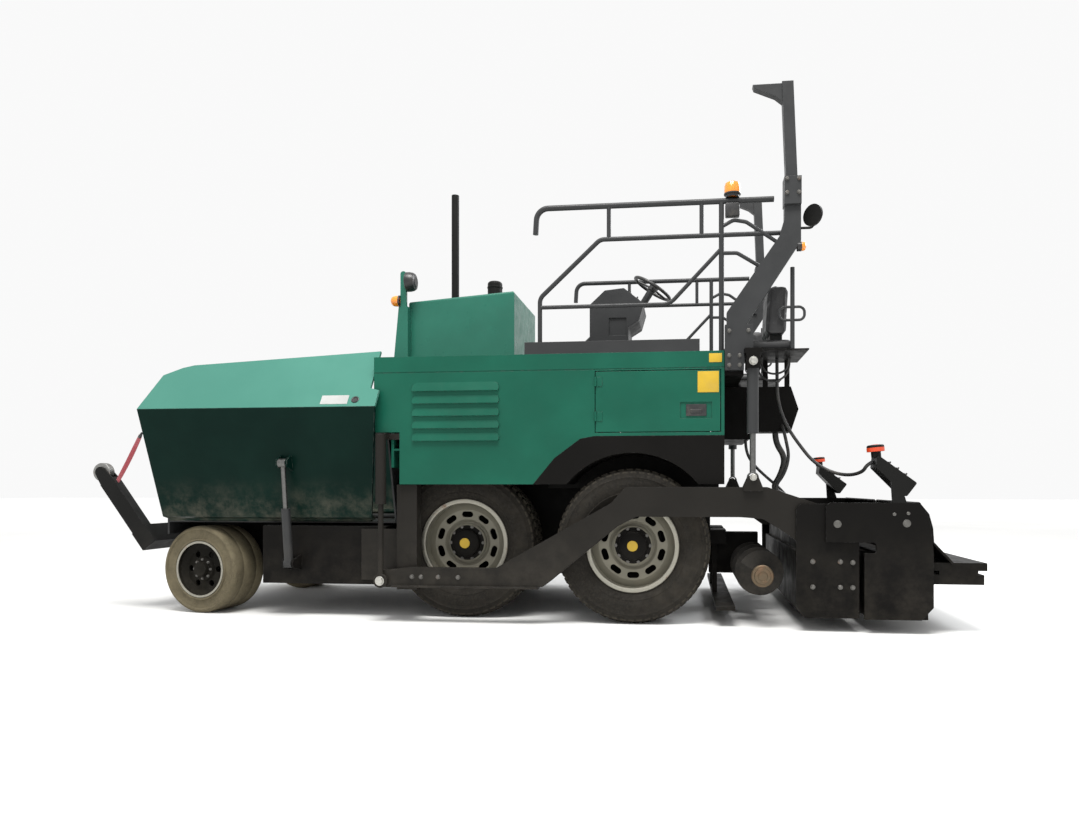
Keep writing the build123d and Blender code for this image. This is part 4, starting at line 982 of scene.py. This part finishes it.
def make_bolts(finish):
    """Bolt heads and pin caps where the photograph shows them."""
    zinc, dark = finish["zinc"], finish["zinc_dark"]
    arm_bolts = [(x, 1.188, 0.350) for x in (-0.622, -0.552, -0.419, -0.264)]
    bolts("tow_arm_bolts", "screed", both(arm_bolts), 0.017, dark)
    holes = [(x, 1.213, z) for x in (2.335, 2.525) for z in (0.320, 0.500)]
    holes += [(2.611, 1.213, z) for z in (0.319, 0.496)]
    bolts("end_plate_bolts", "screed", both(holes), 0.017, dark)
    for side, sign in SIDES:
        large = [((x, sign * 1.243, z), (0, sign, 0)) for x, z in ((2.500, 0.769), (2.970, 0.776))]
        small = [((x, sign * 1.243, z), (0, sign, 0)) for x, z in ((2.886, 0.840), (2.980, 0.846))]
        body = f"screed_extension_{side}"
        bolts(f"plate_bolts_large_{side}", body, large, 0.026, dark, rise=0.3)
        bolts(f"plate_bolts_small_{side}", body, small, 0.012, dark, rise=0.6)
    bolts("lift_pins_top", "root", both([(1.920, 1.216, 1.935)]), 0.030, zinc)
    bolts("lift_pins_low", "screed", both([(1.920, 1.216, 1.100)]), 0.024, zinc)
    bolts("tow_pins", "root", both([(-0.860, 1.232, 0.320)]), 0.034, zinc, rise=0.6)
    clamp = [(x, 1.187, z) for x in (2.160, 2.244) for z in (3.140, 3.240)]
    plate = [(x, 1.160, z) for x in (1.752, 1.828) for z in (1.915, 1.985)]
    plate += [(x, 1.160, 2.165) for x in (1.752, 1.890)]
    bolts("post_bolts", "root", both(clamp + plate), 0.015, dark)


# The upper panel of a wing: its outermost y, how far it leans in for each metre of height, and its normal
WING_Y = 1.250
WING_LEAN = 0.300 / 0.470
WING_NORMAL = (0.843, 0.538)


def wing_point(x, z, sign, lift=0.0):
    """A point on the outside of a wing's upper panel, lifted off it by a distance."""
    y = WING_Y - WING_LEAN * (z - WING_CREASE_Z)
    return Vector((x, sign * (y + WING_NORMAL[0] * lift), z + WING_NORMAL[1] * lift))


def make_signs(finish):
    """Blank signs and plates where the photograph shows some, all without words."""
    yellow, black = finish["sign_yellow"], finish["lamp_black"]
    eyelet = [(0.030, -0.002), (0.030, 0.004), (0.026, 0.006), (0.020, 0.005), (0.018, 0.001), (0.0, 0.001)]
    for side, sign in SIDES:
        door = f"side_door_{side}"
        door_sign = mirrored((1.525, 1.1195, 1.725), (1.680, 1.1225, 1.880), sign)
        box_piece(f"door_sign_{side}", door, [door_sign], yellow, 0.001)
        band_sign = mirrored((1.608, 1.1195, 1.945), (1.702, 1.1225, 2.010), sign)
        box_piece(f"band_sign_{side}", "root", [band_sign], yellow, 0.001)
        latch = mirrored((1.440, 1.1100, 1.552), (1.590, 1.1190, 1.640), sign)
        paddle = mirrored((1.470, 1.1150, 1.575), (1.555, 1.1240, 1.600), sign)
        box_piece(f"door_latch_{side}", door, [latch, paddle], black)
        shape = bmesh.new()
        corners = [(-1.332, 1.660), (-1.116, 1.660), (-1.116, 1.731), (-1.332, 1.731)]
        low = [shape.verts.new(wing_point(x, z, sign, -0.001)) for x, z in corners]
        high = [shape.verts.new(wing_point(x, z, sign, 0.002)) for x, z in corners]
        shape.faces.new(high)
        for i in range(4):
            j = (i + 1) % 4
            shape.faces.new((low[i], low[j], high[j], high[i]))
        bmesh.ops.recalc_face_normals(shape, faces=shape.faces[:])
        plate = mesh_object(f"wing_plate_{side}", shape, finish["plate_grey"], smooth=False)
        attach(plate, f"wing_{side}")
        normal = (0, sign * WING_NORMAL[0], WING_NORMAL[1])
        matrix = place_along(normal, wing_point(-1.060, 1.694, sign))
        turned_piece(f"wing_eyelet_{side}", f"wing_{side}", matrix, eyelet, black, 32)


def make_controls(finish):
    """Red stops and switches on the screed's control boxes, and knobs on the console."""
    stop = [(0.061, -0.002), (0.0615, 0.020), (0.058, 0.036), (0.046, 0.045), (0.024, 0.0490), (0.0, 0.0500)]
    switch = [(0.011, -0.001), (0.011, 0.004), (0.007, 0.006), (0.0055, 0.020), (0.0, 0.021)]
    slope = (0.598, 0.0, 0.801)
    for side, sign in SIDES:
        body = f"screed_extension_{side}"
        matrix = place_along((-0.087, 0, 0.996), (2.782, sign * 1.150, 1.284))
        turned_piece(f"stop_knob_{side}", body, matrix, stop, finish["stop_red"], 48)
        shape = bmesh.new()
        for i in range(3):
            for j in range(3):
                x = 2.860 + i * 0.055
                z = 1.256 - (x - 2.775) * 0.198 / 0.265
                place = (x, sign * (1.100 + j * 0.050), z)
                add_turned(shape, switch, place_along(slope, place), 16)
        switches = mesh_object(f"switches_{side}", shape, finish["steering_plastic"])
        soft_edges(switches)
        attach(switches, body)
    shape = bmesh.new()
    slope = (0.627, 0.0, 0.779)
    for i in range(2):
        for j in range(6):
            if 1 < j < 4:
                continue
            x = 0.975 + i * 0.060
            z = 2.666 - (x - 0.934) * 0.132 / 0.164
            add_turned(shape, switch, place_along(slope, (x, -0.480 + j * 0.072, z)), 16)
    knobs = mesh_object("console_switches", shape, finish["steering_plastic"])
    soft_edges(knobs)
    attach(knobs, "root")


# Camera, floor and lights

def make_camera():
    camera = bpy.data.cameras.new("photo_camera")
    camera.sensor_width = SENSOR
    camera.lens = FOCAL_PX / PHOTO_WIDTH * SENSOR
    camera.shift_x = (PHOTO_WIDTH / 2 - CENTRE_PX[0]) / PHOTO_WIDTH
    camera.shift_y = (CENTRE_PX[1] - PHOTO_HEIGHT / 2) / PHOTO_WIDTH
    obj = bpy.data.objects.new("photo_camera", camera)
    obj.location = CAMERA_PLACE
    obj.rotation_euler = (math.radians(90), 0, CAMERA_YAW)
    bpy.context.scene.collection.objects.link(obj)
    bpy.context.scene.camera = obj


def area_light(name, place, aim, size, power, colour=(1, 1, 1)):
    light = bpy.data.lights.new(name, "AREA")
    light.shape = "RECTANGLE"
    light.size, light.size_y = size
    light.energy = power
    light.color = colour
    obj = bpy.data.objects.new(name, light)
    obj.location = place
    obj.rotation_euler = (Vector(aim) - Vector(place)).to_track_quat("-Z", "Y").to_euler()
    bpy.context.scene.collection.objects.link(obj)


def make_stage():
    """Pale floor that brightens far away to meet the background, an even sky, and large soft lights."""
    shape = bmesh.new()
    bmesh.ops.create_grid(shape, x_segments=1, y_segments=1, size=60)
    floor_finish = Recipe("studio_floor", roughness=0.8)
    tone = floor_finish.limits(floor_finish.noise(0.4, 2), 0.3, 0.7)
    floor_finish.colour(floor_finish.mix(tone, (0.78, 0.78, 0.77), (0.82, 0.82, 0.81)))
    distance = floor_finish.node("ShaderNodeVectorMath", operation="LENGTH")
    floor_finish.link(floor_finish.place, distance.inputs[0])
    glow = floor_finish.limits(distance.outputs["Value"], 6, 26, 0.0, 0.24)
    floor_finish.shader.inputs["Emission Color"].default_value = (1, 1, 1, 1)
    floor_finish.link(glow, floor_finish.shader.inputs["Emission Strength"])
    floor = mesh_object("studio_floor", shape, floor_finish.material, smooth=False)
    world = bpy.data.worlds.new("studio")
    world.use_nodes = True
    background = world.node_tree.nodes["Background"]
    background.inputs["Color"].default_value = (1.0, 1.0, 1.0, 1)
    background.inputs["Strength"].default_value = 0.95
    bpy.context.scene.world = world
    bpy.context.scene.view_settings.view_transform = "Standard"
    area_light("key", (0.5, -5.0, 11.5), (0, 0, 1.2), (6, 4), 1700, (1.0, 0.99, 0.97))
    area_light("back", (6.5, 4.0, 7.0), (0.5, 0, 1.5), (5, 4), 500, (0.96, 0.98, 1.0))


def main():
    make_camera()
    make_stage()
    finish = make_materials()
    dress_nodes(finish)
    make_tyres(finish)
    make_wheel_trim(finish)
    make_arch_liners(finish)
    make_lamps(finish)
    make_seats(finish)
    make_strap(finish)
    make_hoses(finish)
    make_auger(finish)
    make_bolts(finish)
    make_signs(finish)
    make_controls(finish)


main()
